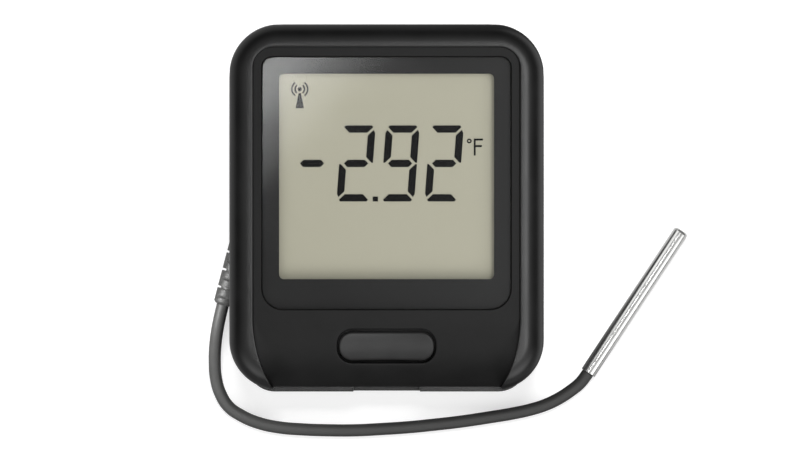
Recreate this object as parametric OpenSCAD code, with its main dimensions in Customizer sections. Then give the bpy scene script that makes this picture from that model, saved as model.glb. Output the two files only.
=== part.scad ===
// Temperature data logger with a display, one wide button and a wired probe.
// It lies on its back: +X to the right of the display, +Y to its top, +Z out of the display.
// The origin is under the middle of the case, on the surface it lies on. Millimetres.

/* [Case] */
// Width of the case
case_w = 70; // [68:1:84]
// Length of the case, base pad included
case_l = 82; // [80:1:96]
// Thickness of the case
case_t = 23; // [22.5:0.5:27]
// Height of the front shell, from the parting line to the top of the rim
front_h = 11; // [10.4:0.1:11.2]
// Wall thickness of both shells
wall = 1.8; // [1.6:0.1:2.1]
// Corner radius of the case, seen from the front
corner_r = 11.2; // [9.5:0.1:12]
// Rounding of the edge round the back
back_edge_r = 2.5; // [1:0.1:3]

/* [Rim and panel] */
// Rounding of the raised rim's outer edge
rim_edge_r = 4.6; // [3:0.1:5]
// Width of the rim along the sides
rim_w = 5.45; // [5.1:0.05:6]
// Width of the rim along the top
rim_top_w = 5.25; // [5.1:0.05:6]
// Inner radius of the rim's top corners
rim_corner_r = 4.5; // [2:0.1:6]
// Depth of the panel below the top of the rim
panel_drop = 0.8; // [0.4:0.1:1.2]
// Thickness of the front wall behind the panel
front_wall = 2.8; // [2.6:0.1:3]

/* [Chin and base] */
// Distance from the base to where the chin starts to fall back
chin_l = 17.2; // [16.8:0.1:17.6]
// Radius of the chin's curve
chin_r = 18.45; // [18.3:0.05:20]
// Distance from the base to the lower edge of the chin
chin_lip = 1.14; // [0.9:0.02:1.4]
// Distance from the side of the case to the flat part of the pad that the logger stands on
base_pad_side = 10; // [7:0.1:14]
// Radius of the ends of that pad
base_pad_r = 6.5; // [5.5:0.1:7.5]
// How far the pad stands out from the base
base_pad_out = 0.55; // [0.3:0.05:0.8]

/* [Window] */
// Distance from the side of the case to the window
window_side = 7.45; // [7.1:0.05:7.8]
// Distance from the base to the window
window_low = 18.65; // [18.2:0.05:19]
// Distance from the top of the case to the window
window_top = 7.45; // [7.1:0.05:7.6]
// Radius of the window's upper corners
window_top_r = 2.3; // [1.5:0.1:4]
// Radius of the window's lower corners
window_low_r = 4.7; // [2:0.1:6]
// Thickness of the window
lens_t = 1.4; // [1.2:0.1:1.5]
// Gap round the window
window_gap = 0.1; // [0.05:0.05:0.2]
// Width of the ledge that the window is glued to
window_ledge = 1.3; // [1:0.1:1.5]
// Thickness of the printed mask behind the window
mask_t = 0.15; // [0.1:0.05:0.2]
// Thickness of the adhesive under the mask
adhesive_t = 0.15; // [0.1:0.05:0.2]

/* [Display] */
// Width of the mask at the sides of the window
mask_side = 3.7; // [3.3:0.1:5.5]
// Width of the mask at the window's upper end
mask_top = 3.65; // [3.2:0.05:4.5]
// Width of the mask at the window's lower end
mask_low = 6.65; // [6.2:0.05:8]
// Corner radius of the opening in the mask
view_r = 1.1; // [0.5:0.1:2]
// Distance from the side of the window to the display glass
glass_side = 1.95; // [1.8:0.05:2.5]
// Distance from the ends of the window to the front glass
glass_end = 1.65; // [1.55:0.05:2.1]
// Thickness of each glass
glass_t = 1.05; // [0.7:0.05:1.1]
// Thickness of the cell between the two glasses
cell_t = 0.1; // [0.08:0.01:0.15]
// Part of the front glass, at its lower end, that lies over the connector
contact_ledge = 3.5; // [3.1:0.1:3.8]
// Thickness of the front polariser
polariser_t = 0.2; // [0.15:0.05:0.3]
// Thickness of the reflector behind the rear glass
reflector_t = 0.25; // [0.2:0.05:0.4]
// Air gap between the display and the window's ledge
display_gap = 0.3; // [0.2:0.05:0.4]

/* [Digits] */
// Height of a digit
digit_h = 16.9; // [12:0.1:18]
// Room beside the row of places for the unit and the margins
row_room = 8.5; // [8:0.1:12]
// Space from one digit to the next
digit_space = 2.3; // [1.6:0.1:3.5]
// Width of a digit's strokes
stroke_w = 1.6; // [1:0.1:1.7]
// Gap between two segments of a digit
stroke_gap = 0.35; // [0.2:0.05:0.5]
// Lean of the digits, in degrees
digit_lean = 4.2; // [0:0.2:6]

/* [Button] */
// Width of the button
button_w = 21; // [18:0.1:22]
// Length of the button, up and down the chin
button_l = 6.4; // [5.8:0.1:6.6]
// Distance from the base to the middle of the button
button_low = 10.4; // [10:0.1:10.8]
// Corner radius of the button
button_r = 2.9; // [2:0.1:2.9]
// Gap at the button's ends
button_end_gap = 0.4; // [0.3:0.1:0.6]
// Gap above and below the button
button_side_gap = 0.6; // [0.4:0.1:0.6]
// How far the button's ends stand out of the chin
button_proud = 0.5; // [0.3:0.1:0.8]
// Travel of the button
button_travel = 0.6; // [0.3:0.1:0.6]

/* [Probe plug] */
// Tilt of the plug's axis from the long side of the case, in degrees
plug_turn = 17; // [15:0.5:19]
// Height of the socket that the plug goes into
jack_h = 5.6; // [5.4:0.1:6]
// Diameter of the plug's contacts
plug_d = 3.5; // [3.2:0.1:3.6]
// Length of the plug's contacts
plug_l = 14; // [13:0.1:14.2]
// Diameter of the boot's grip
grip_d = 7; // [6.4:0.1:7]
// Length of the boot's grip
grip_l = 9; // [8:0.1:10]
// Length of the strain relief
relief_l = 18; // [15:0.5:19]
// Diameter of the strain relief at its free end
relief_end_d = 4.4; // [4.2:0.1:4.6]
// Diameter of the strain relief at the grip
relief_root_d = 5.8; // [5:0.1:6]
// Distance from one slot of the strain relief to the next on the same side
slot_pitch = 4.05; // [3.6:0.05:4.3]
// Width of a slot
slot_w = 0.5; // [0.4:0.1:0.9]

/* [Probe] */
// Diameter of the cord
cord_d = 2.8; // [2.6:0.1:2.8]
// Outer diameter of the probe sleeve
sleeve_d = 3.5; // [3.4:0.1:4.5]
// Length of the probe sleeve
sleeve_l = 38.6; // [30:0.2:60]
// Wall thickness of the probe sleeve
sleeve_wall = 0.3; // [0.2:0.05:0.3]
// Rounding of the closed tip
tip_r = 0.7; // [0.3:0.1:1]

/* [Hidden] */

// Smoothness of true curves
$fn = 64;
// Overrun of every cut past the face it goes through
overrun = 1;
// Overlap of two solids that are fused into one
fuse = 0.2;

// Colours
shell_black = [0.13, 0.13, 0.135];
satin_black = [0.17, 0.17, 0.175];
cord_grey = [0.25, 0.25, 0.25];
board_green = [0.08, 0.3, 0.16];
segment_dark = [0.12, 0.12, 0.12];
display_grey = [0.65, 0.64, 0.57];
clear_tint = [0.8, 0.85, 0.86, 0.35];
part_black = [0.07, 0.07, 0.08];
steel = [0.78, 0.78, 0.77];
gold = [0.8, 0.66, 0.33];
nylon_white = [0.88, 0.87, 0.82];
foam_grey = [0.4, 0.4, 0.4];

// Outline of the two shells, without the base pad
rear_t = case_t - front_h;
shell_l = case_l - base_pad_out;
shell_y = base_pad_out / 2;
base_y = -case_l / 2;
top_y = case_l / 2;
base_pad_w = case_w - 2 * base_pad_side;
base_pad_turn = 50;
inner_w = case_w - 2 * wall;
inner_l = shell_l - 2 * wall;
inner_r = corner_r - wall;

// Panel, chin and recess
panel_z = case_t - panel_drop;
front_in_z = panel_z - front_wall;
chin_y = base_y + chin_l;
chin_z = panel_z - chin_r;
chin_low_y = base_y + chin_lip;
recess_w = case_w - 2 * rim_w;
recess_top_y = top_y - rim_top_w;

// Window and display stack, from the front to the back
window_w = case_w - 2 * window_side;
window_l = case_l - window_top - window_low;
window_y = top_y - window_top - window_l / 2;
view_w = window_w - 2 * mask_side;
view_l = window_l - mask_top - mask_low;
glass_w = window_w - 2 * glass_side;
glass_l = window_l - 2 * glass_end;
lens_z = panel_z - lens_t;
mask_z = lens_z - mask_t;
ledge_z = mask_z - adhesive_t;
polariser_z = ledge_z - display_gap - polariser_t;
front_glass_z = polariser_z - glass_t;
cell_z = front_glass_z - cell_t;
rear_glass_z = cell_z - glass_t;
reflector_z = rear_glass_z - reflector_t;
view_y = top_y - window_top - mask_top - view_l / 2;
rear_glass_l = glass_l - contact_ledge;
rear_glass_y = window_y + contact_ledge / 2;
ledge_r = 1;
polariser_inset = 0.6;
seal_w = 1.2;
glass_gap = 0.1;
frame_wall = 0.9;
frame_clear_z = 0.15;
frame_shelf = 2.2;
frame_w = glass_w + 2 * (glass_gap + frame_wall);
frame_l = glass_l + 2 * (glass_gap + frame_wall);
zebra_side = 3.6;
zebra_w = glass_w - 2 * zebra_side;
zebra_l = 2.2;
zebra_low = 0.4;

// Digits and symbols
digit_corner = 0.36;
digit_inset = 0.5;
middle_inset = 1.05;
half_gap = 0.17;
// What each place shows: a minus sign, then three digits, as lit segments
PLACES = ["g", "abged", "abcdfg", "abged"];
digit_pitch = (view_w - row_room) / len(PLACES);
digit_w = digit_pitch - digit_space;
row_shift = 2.4;
row_drop = 5.54;
first_digit_x = row_shift - digit_pitch;
digit_low_y = view_y - row_drop;
point_w = 1.18;
point_l = 1.08;
unit_space = 2.45;
degree_x = first_digit_x + 2 * digit_pitch + digit_w / 2 + unit_space;
degree_drop = 3.46;
degree_y = digit_low_y + digit_h - degree_drop;
degree_r = 0.53;
degree_hole_r = 0.24;
letter_space = 1;
letter_l = 3.75;
letter_w = 2.05;
letter_x = degree_x + letter_space;
letter_y = degree_y + degree_r - letter_l;
letter_stroke = 0.42;
letter_arm_share = 0.88;
letter_arm_y_share = 0.5;
mast_side = 4.55;
mast_drop = 7.6;
mast_x = mast_side - view_w / 2;
mast_low_y = view_y + view_l / 2 - mast_drop;
mast_l = 3.4;
mast_w = 1.85;
mast_top_w = 0.5;
mast_dot_up = 0.85;
mast_dot_y = mast_low_y + mast_l + mast_dot_up;
mast_dot_r = 0.48;
wave_r = 1.05;
wave_pitch = 0.72;
wave_w = 0.36;
wave_count = 2;
wave_angle = 110;

// Board and what stands on it
board_t = 1.6;
board_z = rear_t - board_t;
plug_z = board_z - jack_h / 2;
board_gap = 1.8;
board_w = inner_w - 2 * board_gap;
board_end_gap = 1.3;
board_l = inner_l - 2 * board_end_gap;
board_r = 8.2;
board_clear = 0.25;
screw_side = 7.8;
screw_end = 6.8;
screw_x = case_w / 2 - screw_side;
screw_y = shell_l / 2 - screw_end;
board_hole_d = 2.9;

// Case screws, their pillars and bosses
screw_d = 2.5;
thread_gap = 0.02;
shank_gap = 0.2;
screw_head_d = 4.2;
screw_head_t = 1.7;
well_gap = 0.25;
seat_t = 3;
well_depth = board_z - seat_t;
screw_l = 8;
drive_w = 0.5;
drive_l = 2.4;
drive_depth = 0.9;
pillar_d = 6;
boss_d = 5.2;
pilot_spare = 0.3;

// Alignment lips that stand up from the rear shell
lip_t = 0.9;
lip_gap = 0.1;
lip_up = 1.2;
lip_down = 1.4;
lip_l = 24;
left_lip_l = 10;
lip_spare = 0.5;
left_lip_y = (inner_l - left_lip_l) / 2 - inner_r - lip_spare;

// Chips
chip_up = 2.4;
chip_y = window_y + chip_up;
processor_w = 10;
processor_t = 1.2;
processor_x = -9;
memory_w = 6;
memory_l = 5;
memory_t = 1.5;
memory_x = 8;
crystal_w = 5;
crystal_l = 3.2;
crystal_t = 1.1;
crystal_drop = 10;
crystal_y = chip_y - crystal_drop;
inductor_w = 6;
inductor_t = 2.8;
inductor_x = 11;
inductor_drop = 9;
inductor_y = chip_y - inductor_drop;
inductor_waist = 0.7;
inductor_flange = 0.6;
capacitor_w = 0.8;
capacitor_l = 1.6;
capacitor_t = 0.8;
capacitor_pitch = 2.4;
capacitor_row_pitch = 3;
capacitor_count = 6;
capacitor_row_count = 2;
capacitor_x = -6;
capacitor_up = 8.5;
capacitor_y = chip_y + capacitor_up;
pin_w = 0.4;
pin_pitch = 1;
pin_out = 0.9;
pin_t = 0.2;

// Radio module
radio_w = 12.4;
radio_l = 12.8;
radio_board_t = 0.8;
radio_side = 10;
radio_low = 12.2;
radio_x = screw_x - radio_side;
radio_y = base_y + radio_low;
shield_w = 10.6;
shield_l = 8.4;
shield_h = 1.6;
shield_wall = 0.2;
shield_up = 1.6;

// USB socket and the recess in front of it
usb_w = 7.5;
usb_h = 2.6;
usb_l = 5;
usb_wall = 0.3;
usb_z = board_z - usb_h / 2;
usb_recess_w = 14.9;
usb_recess_h = 4.8;
usb_recess_l = 4.6;
usb_recess_wall = 1.2;
usb_hole_gap = 0.15;
usb_inset = 0.4;
usb_recess_y = base_y + usb_recess_l;
usb_y = usb_recess_y + usb_inset;
tongue_w = 4;
tongue_t = 0.6;
tongue_back = 1.2;
tongue_short = 0.5;

// Button, switch and dome
button_y = base_y + button_low;
button_hole_w = button_w + 2 * button_end_gap;
button_hole_l = button_l + 2 * button_side_gap;
button_hole_r = button_r + button_end_gap;
button_flange_end = 1.1;
button_flange_side = 0.5;
button_flange_t = 0.7;
button_flange_gap = 0.25;
button_flange_r = 3;
button_scoop = 0.9;
button_leg_d = 3.2;
flange_r = chin_r - front_wall - button_flange_gap;
core_r = flange_r - button_flange_t;
scoop_r = (pow(button_w / 2, 2) + pow(button_scoop, 2)) / (2 * button_scoop);
switch_w = 4.6;
switch_t = 2.2;
switch_floor = 0.5;
switch_chamber_d = 3.8;
switch_chamber_t = 1.2;
stem_d = 2.2;
stem_spare = 0.2;
stem_up = button_travel + stem_spare;
stem_gap = 0.05;
dome_d = 3.4;
dome_h = 0.65;
dome_t = 0.12;
dome_gap = 0.05;
stem_top_z = rear_t + switch_t + stem_up;
stem_low_z = rear_t + switch_floor + dome_h + dome_gap;
dome_r = (pow(dome_d / 2, 2) + pow(dome_h, 2)) / (2 * dome_h);

// Battery
foam_t = 0.8;
cell_side_room = 30.4;
cell_end_room = 27.85;
cell_w = inner_w - cell_side_room;
cell_l = inner_l - cell_end_room;
cell_spare = 1.3;
cell_h = board_z - wall - foam_t - cell_spare;
cell_edge_share = 0.25;
cell_edge_r = cell_h * cell_edge_share;
cell_terrace_l = 3;
cell_terrace_t = 1.2;
cell_x = 2;
cell_y = 2.5;
foam_inset = 3;
rib_t = 1;
rib_gap = 0.3;
lead_d = 1.1;
lead_pitch = 2;
lead_clear = 0.5;
rib_h = foam_t + (cell_h - lead_d) / 2 - lead_clear;
lead_x = 2;
battery_plug_w = 6;
battery_plug_l = 5;
battery_plug_share = 0.52;
battery_plug_h = cell_h * battery_plug_share;
header_wall = 0.8;
header_l = 4.2;
header_gap = 0.05;
header_inset = 4.5;
header_y = board_l / 2 + shell_y - header_inset;

// Plug, its pocket and the socket; distances run along the plug's axis from the relief's free end
plug_out = 1.9;
plug_x = -case_w / 2 - plug_out;
plug_y = -21.6;
relief_chamfer = 0.5;
slot_count = 4;
slot_first = 3.45;
slot_web = 3;
slot_groove = 0.25;
grip_edge_r = 0.8;
grip_rib_count = 3;
grip_rib_pitch = 1.8;
grip_rib_depth = 0.35;
grip_rib_w = 0.9;
boot_l = relief_l + grip_l;
pocket_side_gap = 0.7;
pocket_end_gap = 0.2;
pocket_w = grip_d + 2 * pocket_side_gap;
pocket_top_z = plug_z + grip_d / 2 + pocket_end_gap;
pocket_wall = 1.5;
pocket_before = 12;
pocket_end = boot_l + pocket_end_gap;
jack_start = pocket_end + wall;
jack_l = 14.2;
jack_w = 6.4;
jack_room = 0.3;
jack_bore_gap = 0.05;
bush_d = 6;
bush_gap = 0.1;
jack_bore_l = boot_l + plug_l + pocket_side_gap - jack_start;
jack_pin_w = 1;
jack_pin_t = 0.3;
jack_pin_short = 0.2;
jack_pin_gap = 0.1;
jack_pin_count = 3;
jack_pin_pitch = 4.4;
jack_pin_first = 2.6;
tip_share = 0.26;
ring_share = 0.17;
insulator_share = 0.055;
tip_neck_share = 0.7;
tip_end_share = 0.3;
plug_core_d = 1.6;

// Probe
probe_turn = 56.6;
potting_short = 1.2;
bead_d = 1.6;
bead_back = 3.4;

// Route of the cord's middle, from the strain relief to the probe
cord_sides = 8;
CORD_ROUTE = [
    [-36.9, -21.6, 7.6], [-37.6, -24.5, 7.4], [-38.2, -27.4, 6.7], [-38.7, -30.9, 5.3],
    [-38.9, -34.6, 3.7], [-38.7, -38.3, 2.4], [-37.7, -41.9, 1.7], [-35.8, -44.9, 1.4],
    [-33.1, -46.8, 1.4], [-29.5, -48.4, 1.4], [-24.7, -49.5, 1.4], [-19, -50, 1.4],
    [-13, -50.2, 1.4], [-7, -50.2, 1.4], [-1, -49.9, 1.4], [5, -49.5, 1.4],
    [11, -48.9, 1.4], [17, -48.2, 1.4], [23, -47.3, 1.4], [29, -46.3, 1.4],
    [32.6, -45.5, 1.4], [35.8, -44.5, 1.4], [38.8, -43.1, 1.4], [41.6, -41.3, 1.4],
    [43.9, -39.4, 1.5], [45.6, -37.15, 1.75],
];

// The route as it lies round a case of another size: its lower part keeps to the case's lower
// edge, its start to the left side and its end to the right side
route_side = 35;
route_base = 41;
route_plug_z = 7.6;
route_half = (len(CORD_ROUTE) - 1) / 2;
route_lead = 7;
function route_point(i) =
    CORD_ROUTE[i] + [
        (case_w / 2 - route_side) * (i / route_half - 1),
        (route_base - case_l / 2) * min(1, i / route_lead),
        (plug_z - route_plug_z) * max(0, 1 - i / route_lead),
    ];
probe_start = route_point(len(CORD_ROUTE) - 1);

// Blank label on the back
label_side = 13;
label_end = 24;
label_w = case_w - 2 * label_side;
label_l = case_l - 2 * label_end;
label_r = 2;
label_t = 0.12;
label_recess = 0.2;
label_x = 2;

// A quarter of a disc in the corner of two axes
module quarter(r) {
    intersection() {
        circle(r);
        square(r);
    }
}

// A rectangle with round corners, of one radius above and one below
module round_rect(w, l, top, low) {
    translate([-w / 2, low - l / 2])
        square([w, l - top - low]);
    for (end = [[top, 1], [low, -1]]) {
        if (end[0] > 0) {
            translate([end[0] - w / 2, end[1] > 0 ? l / 2 - top : -l / 2])
                square([w - 2 * end[0], end[0]]);
            for (side = [-1, 1])
                translate([side * (w / 2 - end[0]), end[1] * (l / 2 - end[0])])
                    scale([side, end[1]])
                        quarter(end[0]);
        }
    }
}

// Section of a wall's outer part, with its far upper edge rounded
module edge_section(reach, h, edge) {
    square([reach - edge, h]);
    translate([reach - edge, 0])
        square([edge, h - edge]);
    translate([reach - edge, h - edge])
        quarter(edge);
}

// A slab with round corners and a rounded upper edge
module rounded_slab(w, l, r, h, edge) {
    translate([r - w / 2, r - l / 2, 0])
        cube([w - 2 * r, l - 2 * r, h]);
    for (turn = [0 : 3]) {
        across_l = turn % 2 == 0 ? w : l;
        along_l = turn % 2 == 0 ? l : w;
        rotate([0, 0, 90 * turn])
            translate([across_l / 2 - r, along_l / 2 - r, 0]) {
                rotate_extrude(angle = 90)
                    edge_section(r, h, edge);
                rotate([90, 0, 0])
                    linear_extrude(along_l - 2 * r)
                        edge_section(r, h, edge);
            }
    }
}

// Space inside both shells, in plan
module inner_outline(grow = 0) {
    translate([0, shell_y])
        round_rect(inner_w + 2 * grow, inner_l + 2 * grow, inner_r + grow, inner_r + grow);
}

// Draws a section of the case, seen from the side, right across the case
module across(width) {
    rotate([90, 0, 90])
        translate([0, 0, -width / 2])
            linear_extrude(width)
                children();
}

// Side view of all that lies a given depth below the panel and the chin
module below_face(depth) {
    translate([chin_y, chin_z]) {
        square([case_l, chin_r - depth]);
        mirror([1, 0])
            quarter(chin_r - depth);
    }
}

// Plan of the recess inside the rim: round below, where the chin falls back
module recess_outline() {
    translate([0, (recess_top_y + chin_y) / 2])
        round_rect(recess_w, recess_top_y - chin_y, rim_corner_r, 0);
    translate([0, chin_y])
        for (side = [0, 1])
            mirror([side, 0])
                rotate(-90)
                    quarter(recess_w / 2);
}

// Places its children at the four case screws
module at_screws() {
    for (x = [-screw_x, screw_x], y = [-screw_y, screw_y])
        translate([x, shell_y + y, 0])
            children();
}

// Turns +Z onto the plug's axis and moves a given distance along it
module along_plug(t = 0) {
    translate([plug_x, plug_y, plug_z])
        rotate([-90, 0, -plug_turn])
            translate([0, 0, t])
                children();
}

// Turns +Z onto the probe's axis and moves a given distance along it
module along_probe(t = 0) {
    translate([probe_start[0], probe_start[1], sleeve_d / 2])
        rotate([0, 90, probe_turn])
            translate([0, 0, t])
                children();
}

// A flat sheet with round corners
module sheet(w, l, top, low, t) {
    linear_extrude(t)
        round_rect(w, l, top, low);
}

// A box that is centred in plan and stands on the plane below it
module block(w, l, h) {
    translate([-w / 2, -l / 2, 0])
        cube([w, l, h]);
}

module front_shell() {
    color(shell_black)
    difference() {
        union() {
            difference() {
                translate([0, shell_y, rear_t])
                    rounded_slab(case_w, shell_l, corner_r, case_t - rear_t, rim_edge_r);
                // Panel and chin
                difference() {
                    translate([0, 0, rear_t - overrun])
                        linear_extrude(case_t - rear_t + 2 * overrun)
                            recess_outline();
                    across(case_w)
                        intersection() {
                            below_face(0);
                            translate([chin_low_y, 0])
                                square([case_l, case_t]);
                        }
                }
                // Hollow behind them
                intersection() {
                    translate([0, 0, rear_t - overrun])
                        linear_extrude(case_t - rear_t + overrun)
                            inner_outline();
                    across(case_w)
                        below_face(front_wall);
                }
                // Seat of the window, and the opening behind it
                translate([0, window_y, ledge_z])
                    sheet(window_w + 2 * window_gap, window_l + 2 * window_gap,
                        window_top_r, window_low_r, case_t);
                translate([0, window_y, rear_t])
                    sheet(window_w - 2 * window_ledge, window_l - 2 * window_ledge,
                        ledge_r, ledge_r, case_t);
                translate([0, button_y, rear_t])
                    sheet(button_hole_w, button_hole_l, button_hole_r, button_hole_r, case_t);
            }
            // Bosses for the case screws
            intersection() {
                at_screws()
                    translate([0, 0, rear_t])
                        cylinder(d = boss_d, h = case_t - rear_t);
                across(case_w)
                    below_face(front_wall - fuse);
            }
        }
        at_screws()
            translate([0, 0, rear_t - overrun])
                cylinder(d = screw_d + 2 * thread_gap, h = overrun + pilot_l);
    }
}

// Depth of the pilot hole in a boss
pilot_l = well_depth + screw_l - rear_t + pilot_spare;

// Blocks inside the rear shell that are cut out by the pocket and the USB recess
module rear_blocks() {
    along_plug(-pocket_before)
        translate([-pocket_w / 2 - pocket_wall, plug_z - rear_t, 0])
            cube([pocket_w + 2 * pocket_wall, rear_t, pocket_before + jack_start]);
    translate([0, base_y, usb_z - usb_recess_h / 2 - usb_recess_wall])
        translate([-usb_recess_w / 2 - usb_recess_wall, 0, 0])
            cube([usb_recess_w + 2 * usb_recess_wall, usb_recess_l + usb_recess_wall, rear_t]);
}

module rear_shell() {
    color(shell_black)
    difference() {
        union() {
            difference() {
                translate([0, shell_y, rear_t])
                    mirror([0, 0, 1])
                        rounded_slab(case_w, shell_l, corner_r, rear_t, back_edge_r);
                translate([0, 0, wall])
                    linear_extrude(rear_t)
                        inner_outline();
            }
            intersection() {
                translate([0, 0, wall - fuse])
                    linear_extrude(rear_t - wall + fuse)
                        inner_outline(fuse);
                rear_blocks();
            }
            at_screws()
                cylinder(d = pillar_d, h = board_z);
            // Pad that the logger stands on
            translate([0, 0, back_edge_r])
                linear_extrude(rear_t - back_edge_r)
                    polygon([for (side = [1, -1], t = [0 : base_pad_turn / 8 : base_pad_turn])
                        let (turn = side > 0 ? t : base_pad_turn - t)
                        [side * (base_pad_w / 2 + base_pad_r * sin(turn)),
                            base_y + base_pad_r * (1 - cos(turn))]]);
            battery_ribs();
            alignment_lips();
        }
        // Pocket of the plug, open to the back and to the left side
        along_plug(-pocket_before)
            translate([-pocket_w / 2, plug_z - pocket_top_z, 0])
                cube([pocket_w, pocket_top_z + overrun, pocket_before + pocket_end]);
        along_plug(pocket_end - overrun)
            cylinder(d = bush_d + 2 * bush_gap, h = wall + 2 * overrun);
        // Room for the socket behind it
        along_plug(jack_start)
            block(jack_w + 2 * jack_room, jack_h + 2 * jack_room, jack_l + jack_room);
        // Recess of the USB socket, its hole, and the notch that shows from the front
        translate([-usb_recess_w / 2, base_y - overrun, usb_z - usb_recess_h / 2])
            cube([usb_recess_w, usb_recess_l + overrun, usb_recess_h]);
        translate([-usb_recess_w / 2, base_y - overrun, usb_z])
            cube([usb_recess_w, chin_lip + overrun, rear_t]);
        translate([0, usb_recess_y, usb_z - usb_h / 2 - usb_hole_gap])
            block(usb_w + 2 * usb_hole_gap, 2 * usb_recess_wall + 2 * overrun,
                usb_h + 2 * usb_hole_gap);
        // Wells and holes of the case screws
        at_screws() {
            translate([0, 0, -overrun])
                cylinder(d = screw_head_d + 2 * well_gap, h = well_depth + overrun);
            cylinder(d = screw_d + 2 * shank_gap, h = rear_t);
        }
        translate([label_x, 0, -overrun])
            sheet(label_w + 2 * window_gap, label_l + 2 * window_gap, label_r, label_r,
                label_recess + overrun);
    }
}

// Low frame round the battery
module battery_ribs() {
    rib_w = cell_w + 2 * rib_gap;
    rib_l = cell_l + 2 * rib_gap;
    translate([cell_x, cell_y, wall - fuse])
        difference() {
            block(rib_w + 2 * rib_t, rib_l + 2 * rib_t, rib_h + fuse);
            translate([0, 0, -overrun])
                block(rib_w, rib_l, rib_h + 2 * overrun);
        }
}

// One upright lip along the inside of a wall
module lip(length) {
    block(lip_t, length, lip_up + lip_down);
    translate([(lip_t + lip_gap + fuse) / 2, 0, 0])
        block(lip_gap + fuse, length, lip_down);
}

// Lips on the right, the top and the left, where the front shell slides over them
module alignment_lips() {
    lip_x = inner_w / 2 - lip_gap - lip_t / 2;
    lip_y = inner_l / 2 - lip_gap - lip_t / 2;
    translate([0, shell_y, rear_t - lip_down]) {
        translate([lip_x, 0, 0])
            lip(lip_l);
        translate([0, lip_y, 0])
            rotate([0, 0, 90])
                lip(lip_l);
        translate([-lip_x, left_lip_y, 0])
            rotate([0, 0, 180])
                lip(left_lip_l);
    }
}

module case_screws() {
    color(steel)
    at_screws()
        difference() {
            union() {
                translate([0, 0, well_depth - screw_head_t])
                    cylinder(d = screw_head_d, h = screw_head_t);
                translate([0, 0, well_depth])
                    cylinder(d = screw_d, h = screw_l);
            }
            for (turn = [0, 90])
                rotate([0, 0, turn])
                    translate([0, 0, well_depth - screw_head_t - overrun])
                        block(drive_w, drive_l, drive_depth + overrun);
        }
}

module rating_label() {
    color(nylon_white)
    translate([label_x, 0, label_recess - label_t])
        sheet(label_w, label_l, label_r, label_r, label_t);
}

module window_lens() {
    color(clear_tint)
    translate([0, window_y, lens_z])
        sheet(window_w, window_l, window_top_r, window_low_r, lens_t);
}

module window_mask() {
    color(part_black)
    translate([0, 0, mask_z])
        difference() {
            translate([0, window_y, 0])
                sheet(window_w, window_l, window_top_r, window_low_r, mask_t);
            translate([0, view_y, -overrun])
                sheet(view_w, view_l, view_r, view_r, mask_t + 2 * overrun);
        }
}

module window_adhesive() {
    color(foam_grey)
    translate([0, window_y, ledge_z])
        difference() {
            sheet(window_w, window_l, window_top_r, window_low_r, adhesive_t);
            translate([0, 0, -overrun])
                sheet(window_w - 2 * window_ledge, window_l - 2 * window_ledge,
                    ledge_r, ledge_r, adhesive_t + 2 * overrun);
        }
}

module lcd_polariser() {
    color(clear_tint)
    translate([0, rear_glass_y, polariser_z])
        block(glass_w - 2 * polariser_inset, rear_glass_l - 2 * polariser_inset, polariser_t);
}

module lcd_front_glass() {
    color(clear_tint)
    translate([0, window_y, front_glass_z])
        block(glass_w, glass_l, glass_t);
}

module lcd_rear_glass() {
    color(clear_tint)
    translate([0, rear_glass_y, rear_glass_z])
        block(glass_w, rear_glass_l, glass_t);
}

module lcd_seal() {
    color(nylon_white)
    translate([0, rear_glass_y, cell_z])
        difference() {
            block(glass_w, rear_glass_l, cell_t);
            translate([0, 0, -overrun])
                block(glass_w - 2 * seal_w, rear_glass_l - 2 * seal_w, cell_t + 2 * overrun);
        }
}

module lcd_reflector() {
    color(display_grey)
    translate([0, rear_glass_y, reflector_z])
        block(glass_w, rear_glass_l, reflector_t);
}

// Outlines of the segments that the others mirror: top, upper right and middle
SEGMENT_TOP = [
    [digit_inset, digit_h - digit_corner],
    [digit_inset + digit_corner, digit_h],
    [digit_w - digit_inset - digit_corner, digit_h],
    [digit_w - digit_inset, digit_h - digit_corner],
    [digit_w - digit_inset - stroke_w + digit_corner, digit_h - stroke_w],
    [digit_inset + stroke_w - digit_corner, digit_h - stroke_w],
];
segment_top_gap = digit_inset + sqrt(2) * stroke_gap;
SEGMENT_RIGHT = [
    [digit_w - digit_corner, digit_h - segment_top_gap],
    [digit_w, digit_h - segment_top_gap - 2 * digit_corner],
    [digit_w, digit_h / 2 + half_gap],
    [digit_w - digit_corner, digit_h / 2 + half_gap],
    [digit_w - stroke_w, digit_h / 2 + half_gap + stroke_w - digit_corner],
    [digit_w - stroke_w, digit_h - segment_top_gap - stroke_w + digit_corner],
];
SEGMENT_MIDDLE = [
    [middle_inset, digit_h / 2],
    [middle_inset + stroke_w / 2, digit_h / 2 + stroke_w / 2],
    [digit_w - middle_inset - stroke_w / 2, digit_h / 2 + stroke_w / 2],
    [digit_w - middle_inset, digit_h / 2],
    [digit_w - middle_inset - stroke_w / 2, digit_h / 2 - stroke_w / 2],
    [middle_inset + stroke_w / 2, digit_h / 2 - stroke_w / 2],
];
function flip_x(points) = [for (p = points) [digit_w - p[0], p[1]]];
function flip_y(points) = [for (p = points) [p[0], digit_h - p[1]]];
// The seven segments, a to g
SEGMENTS = [
    SEGMENT_TOP, SEGMENT_RIGHT, flip_y(SEGMENT_RIGHT), flip_y(SEGMENT_TOP),
    flip_x(flip_y(SEGMENT_RIGHT)), flip_x(SEGMENT_RIGHT), SEGMENT_MIDDLE,
];
// A point of a digit, leaned over
function leaned(p) = [p[0] - digit_w / 2 + p[1] * tan(digit_lean), p[1]];

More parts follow.
